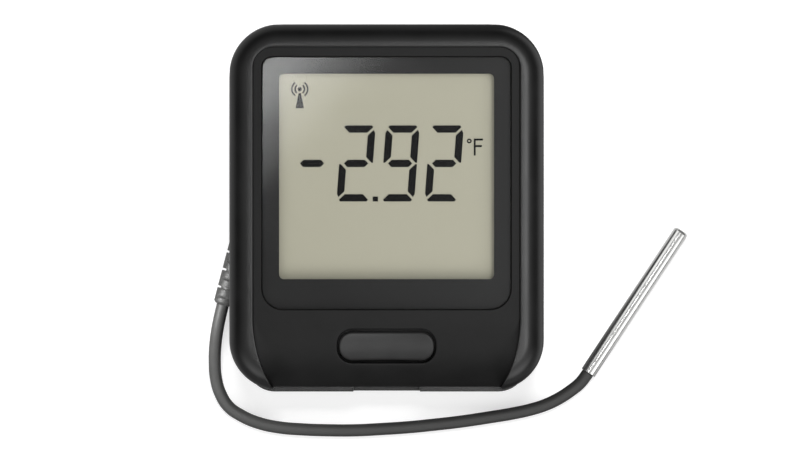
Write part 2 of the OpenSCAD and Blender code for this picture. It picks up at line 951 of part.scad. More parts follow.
module lcd_digits() {
    color(segment_dark)
    translate([first_digit_x, digit_low_y, cell_z])
        linear_extrude(cell_t) {
            for (place = [0 : len(PLACES) - 1], letter = PLACES[place])
                translate([(place - 1) * digit_pitch, 0])
                    polygon([for (p = SEGMENTS[search(letter, "abcdefg")[0]]) leaned(p)]);
            translate([digit_pitch / 2 - point_w / 2, 0])
                square([point_w, point_l]);
        }
}

module lcd_symbols() {
    color(segment_dark)
    translate([0, 0, cell_z])
        linear_extrude(cell_t) {
            translate([degree_x, degree_y])
                difference() {
                    circle(degree_r);
                    circle(degree_hole_r);
                }
            translate([letter_x, letter_y]) {
                square([letter_stroke, letter_l]);
                translate([0, letter_l - letter_stroke])
                    square([letter_w, letter_stroke]);
                translate([0, letter_l * letter_arm_y_share])
                    square([letter_w * letter_arm_share, letter_stroke]);
            }
            translate([mast_x, mast_low_y])
                polygon([
                    [-mast_w / 2, 0], [mast_w / 2, 0],
                    [mast_top_w / 2, mast_l], [-mast_top_w / 2, mast_l],
                ]);
            translate([mast_x, mast_dot_y]) {
                circle(mast_dot_r);
                for (side = [0, 1], wave = [0 : wave_count - 1])
                    mirror([side, 0])
                        wave(wave_r + wave * wave_pitch);
            }
        }
}

// An arc of the antenna symbol, open to the left
module wave(r) {
    reach = r + wave_w;
    intersection() {
        difference() {
            circle(r + wave_w / 2);
            circle(r - wave_w / 2);
        }
        polygon([
            [0, 0],
            [reach * cos(wave_angle / 2), -reach * sin(wave_angle / 2)],
            [reach / cos(wave_angle / 2), 0],
            [reach * cos(wave_angle / 2), reach * sin(wave_angle / 2)],
        ]);
    }
}

module lcd_frame() {
    pocket_l = glass_l + 2 * glass_gap;
    pocket_wide = glass_w + 2 * glass_gap;
    color(nylon_white)
    difference() {
        translate([0, window_y, rear_t])
            block(frame_w, frame_l, front_in_z - frame_clear_z - rear_t);
        // Pocket of the glasses, with a shelf under them
        translate([0, window_y, reflector_z])
            block(pocket_wide, pocket_l, case_t);
        translate([0, rear_glass_y, rear_t - overrun])
            block(glass_w - 2 * frame_shelf, rear_glass_l - 2 * frame_shelf, case_t);
        // Slot of the connector
        translate([0, zebra_y, rear_t - overrun])
            block(zebra_w + 2 * glass_gap, zebra_l + 2 * glass_gap, case_t);
        at_screws()
            translate([0, 0, rear_t - overrun])
                cylinder(d = boss_d + 2 * board_clear, h = case_t);
    }
}

// Middle of the connector between the board and the front glass
zebra_y = window_y - glass_l / 2 + zebra_low + zebra_l / 2;

module zebra_connector() {
    color("dimgray")
    translate([0, zebra_y, rear_t])
        block(zebra_w, zebra_l, front_glass_z - rear_t);
}

module main_board() {
    color(board_green)
    difference() {
        translate([0, shell_y, board_z])
            sheet(board_w, board_l, board_r, board_r, board_t);
        at_screws()
            translate([0, 0, board_z - overrun])
                cylinder(d = board_hole_d, h = board_t + 2 * overrun);
        at_jack_pins()
            translate([0, 0, -overrun])
                block(jack_pin_w + 2 * jack_pin_gap, jack_pin_t + 2 * jack_pin_gap,
                    board_t + 2 * overrun);
        // Cut round the plug's pocket
        along_plug(-pocket_before)
            translate([-case_w, -rear_t, 0])
                cube([case_w + pocket_w / 2 + pocket_wall + board_clear, 2 * rear_t,
                    pocket_before + jack_start + board_clear]);
        // Cut round the USB recess
        translate([0, usb_recess_y, board_z - overrun])
            block(usb_recess_w + 2 * (usb_recess_wall + board_clear),
                2 * (usb_recess_wall + board_clear), board_t + 2 * overrun);
        translate([0, base_y, board_z - overrun])
            block(usb_recess_w + 2 * (usb_recess_wall + board_clear),
                2 * usb_recess_l, board_t + 2 * overrun);
    }
}

// A chip with a row of legs on two sides
module legged_chip(w, l, t) {
    legs = floor(l / pin_pitch) - 1;
    color(part_black)
        block(w, l, t);
    color(steel)
    for (i = [0 : legs - 1])
        translate([0, (i - (legs - 1) / 2) * pin_pitch, 0])
            block(w + 2 * pin_out, pin_w, pin_t);
}

module processor_chip() {
    translate([processor_x, chip_y, rear_t])
        legged_chip(processor_w, processor_w, processor_t);
}

module memory_chip() {
    translate([memory_x, chip_y, rear_t])
        legged_chip(memory_w, memory_l, memory_t);
}

module quartz_crystal() {
    color(steel)
    translate([processor_x, crystal_y, rear_t])
        sheet(crystal_w, crystal_l, crystal_l / 4, crystal_l / 4, crystal_t);
}

module chip_capacitors() {
    color("tan")
    for (row = [0 : capacitor_row_count - 1], i = [0 : capacitor_count - 1])
        translate([capacitor_x + i * capacitor_pitch, capacitor_y + row * capacitor_row_pitch, rear_t])
            block(capacitor_w, capacitor_l, capacitor_t);
}

module power_inductor() {
    color(foam_grey)
    translate([inductor_x, inductor_y, rear_t]) {
        cylinder(d = inductor_w, h = inductor_flange);
        translate([0, 0, inductor_flange])
            cylinder(d = inductor_w - 2 * inductor_waist, h = inductor_t - 2 * inductor_flange);
        translate([0, 0, inductor_t - inductor_flange])
            cylinder(d = inductor_w, h = inductor_flange);
    }
}

module radio_board() {
    color(board_green)
    translate([radio_x, radio_y, rear_t])
        block(radio_w, radio_l, radio_board_t);
}

module radio_shield() {
    color(steel)
    translate([radio_x, radio_y + shield_up, rear_t + radio_board_t])
        difference() {
            block(shield_w, shield_l, shield_h);
            translate([0, 0, -overrun])
                block(shield_w - 2 * shield_wall, shield_l - 2 * shield_wall,
                    shield_h - shield_wall + overrun);
        }
}

module usb_shell() {
    color(steel)
    translate([0, usb_y + usb_l / 2, usb_z - usb_h / 2])
        difference() {
            block(usb_w, usb_l, usb_h);
            translate([0, -usb_wall, usb_wall])
                block(usb_w - 2 * usb_wall, usb_l, usb_h - 2 * usb_wall);
        }
}

module usb_tongue() {
    color(part_black)
    translate([-tongue_w / 2, usb_y + tongue_short, usb_z - tongue_t / 2])
        cube([tongue_w, usb_l - tongue_short - usb_wall, tongue_t]);
    color(part_black)
    translate([0, usb_y + usb_l - usb_wall - tongue_back / 2, usb_z - usb_h / 2 + usb_wall])
        block(usb_w - 2 * usb_wall, tongue_back, usb_h - 2 * usb_wall);
}

module switch_body() {
    color(part_black)
    translate([0, button_y, rear_t])
        difference() {
            block(switch_w, switch_w, switch_t);
            translate([0, 0, switch_floor])
                cylinder(d = switch_chamber_d, h = switch_chamber_t);
            translate([0, 0, switch_floor])
                cylinder(d = stem_d + 2 * stem_gap, h = switch_t);
        }
}

// Thin domed snap disc
module switch_dome() {
    color(steel)
    translate([0, button_y, rear_t + switch_floor])
        intersection() {
            translate([0, 0, dome_h - dome_r])
                difference() {
                    sphere(dome_r);
                    sphere(dome_r - dome_t);
                }
            cylinder(d = dome_d, h = dome_h);
        }
}

module switch_plunger() {
    color(nylon_white)
    translate([0, button_y, stem_low_z])
        cylinder(d = stem_d, h = stem_top_z - stem_low_z);
}

// Part of the button between two depths of the chin's curve
module chin_layer(inner, outer) {
    across(case_w)
        translate([chin_y, chin_z])
            mirror([1, 0])
                difference() {
                    quarter(outer);
                    quarter(inner);
                }
}

module button_cap() {
    color(satin_black) {
        difference() {
            intersection() {
                translate([0, button_y, rear_t])
                    sheet(button_w, button_l, button_r, button_r, case_t);
                chin_layer(core_r, chin_r + button_proud);
            }
            // Scoop between the raised ends
            translate([0, button_y, button_top_z + scoop_r - button_scoop])
                rotate([90 - button_tilt, 0, 0])
                    translate([0, 0, -button_l])
                        cylinder(r = scoop_r, h = 2 * button_l, $fn = 180);
        }
        intersection() {
            translate([0, button_y, rear_t])
                sheet(button_hole_w + 2 * button_flange_end, button_hole_l + 2 * button_flange_side,
                    button_flange_r, button_flange_r, case_t);
            chin_layer(core_r, flange_r);
        }
        translate([0, button_y, stem_top_z])
            cylinder(d = button_leg_d, h = button_leg_l);
    }
}

// Height of the button's surface at its middle, and its slope there
button_drop_y = chin_y - button_y;
button_top_z = chin_z + sqrt(pow(chin_r + button_proud, 2) - pow(button_drop_y, 2));
button_tilt = -asin(button_drop_y / chin_r);
button_leg_l = chin_z + sqrt(pow(core_r, 2) - pow(button_drop_y, 2)) - stem_top_z
    + 2 * button_flange_t;

module battery_cell() {
    color("silver")
    translate([cell_x, cell_y, wall + foam_t]) {
        translate([0, cell_l / 2 - cell_terrace_l, cell_h / 2])
            rotate([90, 0, 0])
                linear_extrude(cell_l - cell_terrace_l)
                    round_rect(cell_w, cell_h, cell_edge_r, cell_edge_r);
        translate([0, cell_l / 2 - cell_terrace_l / 2, (cell_h - cell_terrace_t) / 2])
            block(cell_w - 2 * cell_edge_r, cell_terrace_l, cell_terrace_t);
    }
}

module battery_foam() {
    color(foam_grey)
    translate([cell_x, cell_y, wall])
        block(cell_w - 2 * foam_inset, cell_l - 2 * foam_inset, foam_t);
}

// Top end of the battery's terrace, and height of its leads
cell_end_y = cell_y + cell_l / 2;
lead_mid_z = wall + foam_t + cell_h / 2;

module battery_leads() {
    for (side = [-1, 1])
        color(side < 0 ? "firebrick" : "black")
        translate([lead_x + side * lead_pitch / 2, cell_end_y, lead_mid_z])
            rotate([-90, 0, 0])
                cylinder(d = lead_d, h = header_y - battery_plug_back - cell_end_y);
}

// How far the plug's housing stands out of its header
battery_plug_back = battery_plug_l - header_l + header_wall;

module battery_plug() {
    color(nylon_white)
    translate([lead_x, header_y - battery_plug_back + battery_plug_l / 2,
            lead_mid_z - battery_plug_h / 2])
        block(battery_plug_w, battery_plug_l, battery_plug_h);
}

module battery_header() {
    header_w = battery_plug_w + 2 * (header_gap + header_wall);
    header_low_z = lead_mid_z - battery_plug_h / 2 - header_gap - header_wall;
    color(nylon_white)
    difference() {
        translate([lead_x, header_y + header_l / 2, header_low_z])
            block(header_w, header_l, board_z - header_low_z);
        translate([lead_x, header_y + header_l / 2 - header_wall,
                lead_mid_z - battery_plug_h / 2 - header_gap])
            block(battery_plug_w + 2 * header_gap, header_l, battery_plug_h + 2 * header_gap);
    }
}

module jack_body() {
    color(part_black)
    difference() {
        along_plug(jack_start)
            translate([-jack_w / 2, -jack_h / 2, 0])
                cube([jack_w, jack_h, jack_l]);
        along_plug(jack_start - overrun)
            cylinder(d = plug_d + 2 * jack_bore_gap, h = jack_bore_l + overrun);
    }
}

module jack_bush() {
    color(steel)
    along_plug(pocket_end)
        difference() {
            cylinder(d = bush_d, h = wall);
            translate([0, 0, -overrun])
                cylinder(d = plug_d + 2 * jack_bore_gap, h = wall + 2 * overrun);
        }
}

// Places its children at the socket's solder pins, on the board's underside
module at_jack_pins() {
    for (i = [0 : jack_pin_count - 1])
        along_plug(jack_start + jack_pin_first + i * jack_pin_pitch)
            translate([0, -jack_h / 2, 0])
                rotate([90, 0, 0])
                    children();
}

// Solder pins that stand in holes of the board
module jack_pins() {
    color(steel)
    at_jack_pins()
        block(jack_pin_w, jack_pin_t, board_t - jack_pin_short);
}

// Half profile of the boot: a tapered relief and a grip with shallow ribs
module boot_profile() {
    end_r = relief_end_d / 2;
    root_r = relief_root_d / 2;
    grip_r = grip_d / 2;
    polygon([
        [0, 0],
        [end_r - relief_chamfer, 0],
        [end_r, relief_chamfer],
        [root_r, relief_l],
        [grip_r - grip_edge_r, relief_l],
        [grip_r, relief_l + grip_edge_r],
        [grip_r, boot_l - relief_chamfer],
        [grip_r - relief_chamfer, boot_l],
        [0, boot_l],
    ]);
}

module plug_boot() {
    color(cord_grey)
    along_plug()
        difference() {
            rotate_extrude()
                boot_profile();
            // Slots that cross over each other, leaving a web in the middle
            for (i = [0 : slot_count - 1], side = [-1, 1]) {
                translate([side * (relief_root_d / 2 + slot_web / 2), 0, slot_first + i * slot_pitch])
                    block(relief_root_d, relief_root_d * 2, slot_w);
                translate([0, side * (relief_root_d / 2 + slot_web / 2),
                        slot_first + (i - 1 / 2) * slot_pitch])
                    block(relief_root_d * 2, relief_root_d, slot_w);
            }
            // Grooves round the relief, in line with the slots at its sides
            for (i = [0 : slot_count - 1])
                let (from_end = slot_first + i * slot_pitch,
                    d = relief_end_d + (relief_root_d - relief_end_d) * from_end / relief_l)
                translate([0, 0, from_end])
                    difference() {
                        cylinder(d = relief_root_d + overrun, h = slot_w);
                        cylinder(d = d - 2 * slot_groove, h = slot_w);
                    }
            for (i = [0 : grip_rib_count - 1])
                translate([0, 0, relief_l + grip_edge_r + (i + 1 / 2) * grip_rib_pitch])
                    difference() {
                        cylinder(d = grip_d + overrun, h = grip_rib_w);
                        cylinder(d = grip_d - 2 * grip_rib_depth, h = grip_rib_w);
                    }
        }
}

// Lengths of the plug's contacts, from the boot to the tip
tip_l = plug_l * tip_share;
ring_l = plug_l * ring_share;
insulator_l = plug_l * insulator_share;
plug_sleeve_l = plug_l - tip_l - ring_l - 2 * insulator_l;

module plug_contacts() {
    r = plug_d / 2;
    core = plug_core_d / 2;
    color(gold)
    along_plug(boot_l) {
        difference() {
            cylinder(d = plug_d, h = plug_sleeve_l);
            translate([0, 0, fuse])
                cylinder(d = plug_core_d, h = plug_l);
        }
        translate([0, 0, plug_sleeve_l + insulator_l])
            difference() {
                cylinder(d = plug_d, h = ring_l);
                translate([0, 0, -overrun])
                    cylinder(d = plug_core_d, h = plug_l);
            }
        translate([0, 0, plug_l - tip_l])
            rotate_extrude()
                polygon([
                    [0, 0], [r, 0], [r, tip_l / 6], [r * tip_neck_share, tip_l / 3],
                    [r, tip_l / 2], [r, tip_l * 2 / 3], [r * tip_end_share, tip_l], [0, tip_l],
                ]);
    }
}

module plug_insulators() {
    color(part_black)
    along_plug(boot_l) {
        translate([0, 0, fuse])
            cylinder(d = plug_core_d, h = plug_l - tip_l - fuse);
        for (t = [plug_sleeve_l, plug_sleeve_l + insulator_l + ring_l])
            translate([0, 0, t])
                cylinder(d = plug_d, h = insulator_l);
    }
}

function unit(v) = v / norm(v);
// Direction of the cord at a point of its route
function cord_way(i) =
    i == 0 ? [-sin(plug_turn), -cos(plug_turn), 0]
    : i == len(CORD_ROUTE) - 1 ? [cos(probe_turn), sin(probe_turn), 0]
    : unit(route_point(i + 1) - route_point(i - 1));
// One point of the ring round a point of the route
function cord_point(i, side) =
    let (
        way = cord_way(i),
        level = unit(cross(way, [0, 0, 1])),
        upright = cross(level, way),
        turn = 360 * (side + 1 / 2) / cord_sides
    )
    route_point(i) + cord_d / 2 * (cos(turn) * level + sin(turn) * upright);

module probe_cord() {
    last = len(CORD_ROUTE) - 1;
    points = [for (i = [0 : last], side = [0 : cord_sides - 1]) cord_point(i, side)];
    walls = [
        for (i = [0 : last - 1], side = [0 : cord_sides - 1])
            let (
                next = (side + 1) % cord_sides,
                a = i * cord_sides + side,
                b = i * cord_sides + next,
                c = a + cord_sides,
                d = b + cord_sides
            )
            each [[a, b, d], [a, d, c]]
    ];
    start_cap = [for (side = [1 : cord_sides - 2]) [0, side + 1, side]];
    far_end = last * cord_sides;
    end_cap = [for (side = [1 : cord_sides - 2]) [far_end, far_end + side, far_end + side + 1]];
    color(cord_grey)
        polyhedron(points, concat(walls, start_cap, end_cap));
}

module probe_sleeve() {
    r = sleeve_d / 2;
    color(steel)
    along_probe()
        rotate_extrude()
            difference() {
                union() {
                    square([r, sleeve_l - tip_r]);
                    translate([0, sleeve_l - tip_r])
                        square([r - tip_r, tip_r]);
                    translate([r - tip_r, sleeve_l - tip_r])
                        quarter(tip_r);
                }
                translate([0, -overrun])
                    square([r - sleeve_wall, sleeve_l - potting_short + overrun]);
            }
}

module probe_potting() {
    color(nylon_white)
    along_probe()
        difference() {
            cylinder(d = sleeve_d - 2 * sleeve_wall, h = sleeve_l - potting_short);
            translate([0, 0, sleeve_l - bead_back])
                sphere(d = bead_d);
        }
}

module probe_thermistor() {
    color(part_black)
    along_probe(sleeve_l - bead_back)
        sphere(d = bead_d);
}

front_shell();
rear_shell();
case_screws();
rating_label();
window_lens();
window_mask();
window_adhesive();
lcd_polariser();
lcd_front_glass();
lcd_digits();
lcd_symbols();
lcd_seal();
lcd_rear_glass();
lcd_reflector();
lcd_frame();
zebra_connector();
main_board();
processor_chip();
memory_chip();
quartz_crystal();
chip_capacitors();
power_inductor();
radio_board();
radio_shield();
usb_shell();
usb_tongue();
switch_body();
switch_dome();
switch_plunger();
button_cap();
battery_cell();
battery_foam();
battery_leads();
battery_plug();
battery_header();
jack_body();
jack_bush();
jack_pins();
plug_boot();
plug_contacts();
plug_insulators();
probe_cord();
probe_sleeve();
probe_potting();
probe_thermistor();
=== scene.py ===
import math

import bmesh
import bpy
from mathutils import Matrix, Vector
from mathutils.geometry import delaunay_2d_cdt


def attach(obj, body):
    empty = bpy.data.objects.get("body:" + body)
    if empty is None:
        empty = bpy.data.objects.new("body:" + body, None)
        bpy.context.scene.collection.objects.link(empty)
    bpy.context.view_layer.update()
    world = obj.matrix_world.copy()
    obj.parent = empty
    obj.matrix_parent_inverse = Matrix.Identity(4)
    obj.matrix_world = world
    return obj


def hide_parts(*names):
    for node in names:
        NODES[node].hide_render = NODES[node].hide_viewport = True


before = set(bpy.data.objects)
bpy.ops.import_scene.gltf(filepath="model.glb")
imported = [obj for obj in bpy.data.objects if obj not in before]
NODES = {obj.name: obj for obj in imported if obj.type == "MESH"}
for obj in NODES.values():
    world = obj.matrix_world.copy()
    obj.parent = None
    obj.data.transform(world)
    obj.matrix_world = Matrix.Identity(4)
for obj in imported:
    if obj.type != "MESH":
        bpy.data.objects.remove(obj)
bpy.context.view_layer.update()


# ---- Camera and cord ----

CAMERA_PLACE = (0.00299, -0.0049, 0.92)
FOCAL_LENGTH, SENSOR_WIDTH, CLIP_START = 182.3, 36, 0.01


# The camera looks straight down on the logger, a little right of and below its middle
def place_camera():
    lens = bpy.data.cameras.new("overhead")
    lens.sensor_width = SENSOR_WIDTH
    lens.lens = FOCAL_LENGTH
    lens.clip_start = CLIP_START
    camera = bpy.data.objects.new("overhead", lens)
    camera.location = CAMERA_PLACE
    bpy.context.collection.objects.link(camera)
    bpy.context.scene.camera = camera


# Route of the cord's middle, from the strain relief to the probe, as the CAD part has it
CORD_ROUTE = [
    (-0.0369, -0.0216, 0.0076), (-0.0376, -0.0245, 0.0074), (-0.0382, -0.0274, 0.0067),
    (-0.0387, -0.0309, 0.0053), (-0.0389, -0.0346, 0.0037), (-0.0387, -0.0383, 0.0024),
    (-0.0377, -0.0419, 0.0017), (-0.0358, -0.0449, 0.0014), (-0.0331, -0.0468, 0.0014),
    (-0.0295, -0.0484, 0.0014), (-0.0247, -0.0495, 0.0014), (-0.019, -0.05, 0.0014),
    (-0.013, -0.0502, 0.0014), (-0.007, -0.0502, 0.0014), (-0.001, -0.0499, 0.0014),
    (0.005, -0.0495, 0.0014), (0.011, -0.0489, 0.0014), (0.017, -0.0482, 0.0014),
    (0.023, -0.0473, 0.0014), (0.029, -0.0463, 0.0014), (0.0326, -0.0455, 0.0014),
    (0.0358, -0.0445, 0.0014), (0.0388, -0.0431, 0.0014), (0.0416, -0.0413, 0.0014),
    (0.0439, -0.0394, 0.0015), (0.0456, -0.03715, 0.00175),
]
CORD_R, CORD_SMOOTHNESS = 0.0014, 8


# The cord, with the pieces of the plug and of the probe on it
def lay_probe_cord(finish):
    curve = bpy.data.curves.new("probe_lead_cord", "CURVE")
    curve.dimensions = "3D"
    curve.bevel_depth = CORD_R
    curve.bevel_resolution = CORD_SMOOTHNESS
    curve.resolution_u = CORD_SMOOTHNESS
    spline = curve.splines.new("BEZIER")
    spline.bezier_points.add(len(CORD_ROUTE) - 1)
    for knot, place in zip(spline.bezier_points, CORD_ROUTE):
        knot.co = place
        knot.handle_left_type = knot.handle_right_type = "AUTO"
    cord = bpy.data.objects.new("probe_lead_cord", curve)
    bpy.context.collection.objects.link(cord)
    curve.materials.append(finish)
    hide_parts("probe_cord")
    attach(cord, "probe_lead")
    return cord


# ---- Shapes; their sizes are in millimetres until a mesh is made ----

MM = 0.001

CASE_W, CASE_L, CASE_Y, CORNER_R = 70.0, 81.45, 0.275, 11.2
RIM_TOP, RIM_R = 23.0, 4.6
# The groove along the parting line is as deep as it is high and runs out at the chin; over it
# the wall is plain for a band
PARTING_Z, PARTING_GROOVE, GROOVE_RUN, WALL_BAND = 12.0, 0.12, 2.0, 3.0
RECESS_W, RECESS_TOP, RECESS_R, RECESS_FLARE = 59.1, 35.75, 4.5, 0.6
# Rounding of the rim's inner edge: its radius, and its largest share of the wall's height
BROW_R, BROW_SHARE = 0.3, 0.35
# Foot of the rim's inner wall: width and height beside the panel and low on the chin, the
# length over which one becomes the other, the curve's power, and the wall's lean
FLARE_W, FLARE_H, FLARE_RUN, FLARE_POWER, WALL_LEAN = (0.12, 4.6), (0.12, 0.7), 9.0, 2.4, -0.035
PANEL_Z = 22.2
CHIN_Y, CHIN_Z, CHIN_R, CHIN_END = -23.8, 3.75, 18.45, -39.86
SHELL_T = 2.8
CEILING_END = -37.05
INSIDE_W, INSIDE_L, INSIDE_R = 66.4, 77.85, 9.4

# Numbers of steps round a quarter, along the rim and over its section
BEND_STEPS, TOP_STEPS, BROW_STEPS, FLARE_STEPS, LIP_STEPS = 8, 24, 4, 12, 48
CHIN_STEPS, SIDE_STEPS, RECESS_STEPS, END_STEPS = 44, 26, 16, 10
HOLE_STEPS, CIRCLE_SIDES = 4, 32
# Half width and pitch of the points that carry the curve of the chin and of the ceiling, and
# how far they keep from the lower end and from other points
CHIN_GRID, CEILING_GRID, GRID_START, POINT_GAP = (28, 0.9), (32, 1.5), 0.5, 0.4
# Numbers of parts into which the straight sides of an outline are cut
INSIDE_CUTS = {"across": 40, "along": 60}
HOLE_CUTS = {"across": 24, "along": 3}
BUTTON_CUTS = {"across": 30, "along": 2}
# Points this close count as one; edges over this many degrees are shaded sharp
SAME_POINT, SHARP_OVER = 1e-5, 38

# Width, length, middle, upper and lower corner radius of the openings and what fills them
WINDOW_SEAT = (55.3, 56.1, 5.6, 2.3, 4.7)
WINDOW_SIZE = (55.1, 55.9, 5.6, 2.3, 4.7)
WINDOW_OPENING = (52.5, 53.3, 5.6, 1.0, 1.0)
DISPLAY_SIZE = (51.2, 52.6, 5.6, 0.2, 0.2)
BUTTON_HOLE = (21.8, 7.6, -30.6, 3.3, 3.3)
BUTTON_SIZE = (21.0, 6.4, -30.6, 2.9, 2.9)
BUTTON_FLANGE = (24.0, 8.6, -30.6, 3.0, 3.0)
SEAT_Z, WINDOW_LOW_Z, DISPLAY_LOW_Z, DISPLAY_TOP_Z = 20.5, 20.8, 18.95, 20.0
SEAT_EDGE, HOLE_EDGE, WINDOW_EDGE, DISPLAY_EDGE = 0.15, 0.4, 0.12, 0.05

SCREWS = ((27.2, 34.2), (-27.2, 34.2), (-27.2, -33.65), (27.2, -33.65))
BOSS_R, PILOT_R, PILOT_TOP = 2.5, 1.27, 15.7

PROBE_TURN = math.radians(56.6)


# Whether a point of the plan lies inside a closed loop
def lies_inside(loop, x, y):
    inside = False
    for (ax, ay), (bx, by) in zip(loop, loop[1:] + loop[:1]):
        if (ay > y) != (by > y) and x < ax + (bx - ax) * (y - ay) / (by - ay):
            inside = not inside
    return inside


# Points and faces of one piece, before they become a mesh
class Shape:
    def __init__(self):
        self.places, self.faces, self.looks = [], [], []

    def row(self, places):
        first = len(self.places)
        self.places.extend(places)
        return list(range(first, len(self.places)))

    def face(self, corners, look):
        self.faces.append(corners)
        self.looks.append(look)

    # Four-sided faces between two rows of equal length
    def strip(self, first, second, look=0, closed=True):
        for i in range(len(first) if closed else len(first) - 1):
            j = (i + 1) % len(first)
            self.face([first[i], first[j], second[j], second[i]], look)

    # Faces that fill the outermost of some closed rows and leave the others open, through more
    # points at a height
    def sheet(self, rows, look=0, height=None, more=()):
        loops = [[self.places[index][:2] for index in row] for row in rows]
        flat, edges, known = [], [], [index for row in rows for index in row]
        for loop in loops:
            start = len(flat)
            flat.extend(Vector(spot) for spot in loop)
            edges.extend((start + i, start + (i + 1) % len(loop)) for i in range(len(loop)))
        for spot in more:
            if all((Vector(spot) - other).length > POINT_GAP for other in flat[::2]):
                known.extend(self.row([(*spot, height(spot[1]))]))
                flat.append(Vector(spot))
        _, _, faces, origins, _, _ = delaunay_2d_cdt(flat, edges, [], 0, SAME_POINT)
        for face in faces:
            middle = sum((flat[origins[i][0]] for i in face), Vector((0, 0))) / len(face)
            if sum(lies_inside(loop, *middle) for loop in loops) % 2:
                self.face([known[origins[i][0]] for i in face], look)

    def mesh(self, name, finishes, closed=True):
        mesh = bpy.data.meshes.new(name)
        mesh.from_pydata([[c * MM for c in place] for place in self.places], [], self.faces)
        mesh.polygons.foreach_set("material_index", self.looks)
        shape = bmesh.new()
        shape.from_mesh(mesh)
        loose = [vert for vert in shape.verts if not vert.link_faces]
        bmesh.ops.delete(shape, geom=loose, context="VERTS")
        if closed:
            bmesh.ops.recalc_face_normals(shape, faces=shape.faces)
        shape.to_mesh(mesh)
        shape.free()
        mesh.shade_smooth()
        mesh.set_sharp_from_angle(angle=math.radians(SHARP_OVER))
        for finish in finishes:
            mesh.materials.append(finish)
        return mesh


# A piece that stands for CAD nodes and moves with one body
def place_piece(name, mesh, nodes, body):
    piece = bpy.data.objects.new(name, mesh)
    bpy.context.collection.objects.link(piece)
    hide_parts(*nodes)
    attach(piece, body)
    return piece


# Plan of a rectangle with round corners, counterclockwise from its right side; grow moves it
# outward, and the straight parts are cut into steps
def round_loop(size, grow=0.0, across=1, along=1):
    w, l, middle, top_r, low_r = size
    loop = []
    corners = ((1, 1, top_r, 0, across), (-1, 1, top_r, 90, along),
               (-1, -1, low_r, 180, across), (1, -1, low_r, 270, along))
    for side, end, r, start, _ in corners:
        for step in range(BEND_STEPS + 1):
            turn = math.radians(start + 90 * step / BEND_STEPS)
            loop.append((side * (w / 2 - r) + (r + grow) * math.cos(turn),
                         middle + end * (l / 2 - r) + (r + grow) * math.sin(turn)))
    cut = []
    for i, (x, y) in enumerate(loop):
        cut.append((x, y))
        if i % (BEND_STEPS + 1) == BEND_STEPS:
            next_x, next_y = loop[(i + 1) % len(loop)]
            steps = corners[i // (BEND_STEPS + 1)][4]
            cut.extend((x + (next_x - x) * step / steps, y + (next_y - y) * step / steps)
                       for step in range(1, steps))
    return cut


def circle(middle, r):
    turns = [2 * math.pi * i / CIRCLE_SIDES for i in range(CIRCLE_SIDES)]
    return [(middle[0] + r * math.cos(turn), middle[1] + r * math.sin(turn)) for turn in turns]


# Sideways and endways reach of each step of a quarter circle, from 0 and 1 to 1 and 0
def quarter(steps):
    turns = [math.pi / 2 * step / steps for step in range(steps + 1)]
    return [(math.sin(turn), math.cos(turn)) for turn in turns]


# Height of the panel and of the chin that curves back from it, or of a surface beside them
def face_height(y, proud=0.0):
    if y >= CHIN_Y:
        return PANEL_Z + proud
    return CHIN_Z + math.sqrt(max((CHIN_R + proud) ** 2 - (CHIN_Y - y) ** 2, 0))


def at_height(loop, height):
    return [(x, y, height(y) if callable(height) else height) for x, y in loop]


# How far a point of the plan lies inside the case's outline
def depth_in_case(x, y):
    over_x = abs(x) - (CASE_W / 2 - CORNER_R)
    over_y = abs(y - CASE_Y) - (CASE_L / 2 - CORNER_R)
    return CORNER_R - math.hypot(max(over_x, 0), max(over_y, 0)) - min(max(over_x, over_y), 0)


def rim_height(x, y):
    depth = min(max(depth_in_case(x, y), 0), RIM_R)
    return RIM_TOP - RIM_R + math.sqrt(RIM_R ** 2 - (RIM_R - depth) ** 2)


# Places on the rim's inner edge with the way out of the recess and the way into it,
# from the lower left end over the top to the lower right end
def rim_stations():
    right = []
    half = RECESS_W / 2
    reach = math.asin((CHIN_Y - CHIN_END) / half)
    for step in range(CHIN_STEPS):
        share = 1 - step / CHIN_STEPS
        turn = reach * share
        right.append(((half * math.cos(turn) + RECESS_FLARE * share ** 2,
                       CHIN_Y - half * math.sin(turn)),
                      (math.cos(turn), -math.sin(turn)), (-1.0, 0.0)))
    side_top = RECESS_TOP - RECESS_R
    for step in range(SIDE_STEPS):
        right.append(((half, CHIN_Y + (side_top - CHIN_Y) * step / SIDE_STEPS),
                      (1.0, 0.0), (-1.0, 0.0)))
    for up, across in quarter(RECESS_STEPS):
        right.append(((half - RECESS_R + RECESS_R * across, side_top + RECESS_R * up),
                      (across, up), (-across, -up)))
    for step in range(1, END_STEPS + 1):
        right.append((((half - RECESS_R) * (1 - step / END_STEPS), RECESS_TOP),
                      (0.0, 1.0), (0.0, -1.0)))
    left = [((-x, y), (-out[0], out[1]), (-back[0], back[1]))
            for (x, y), out, back in right[:-1]]
    return left + right[::-1]


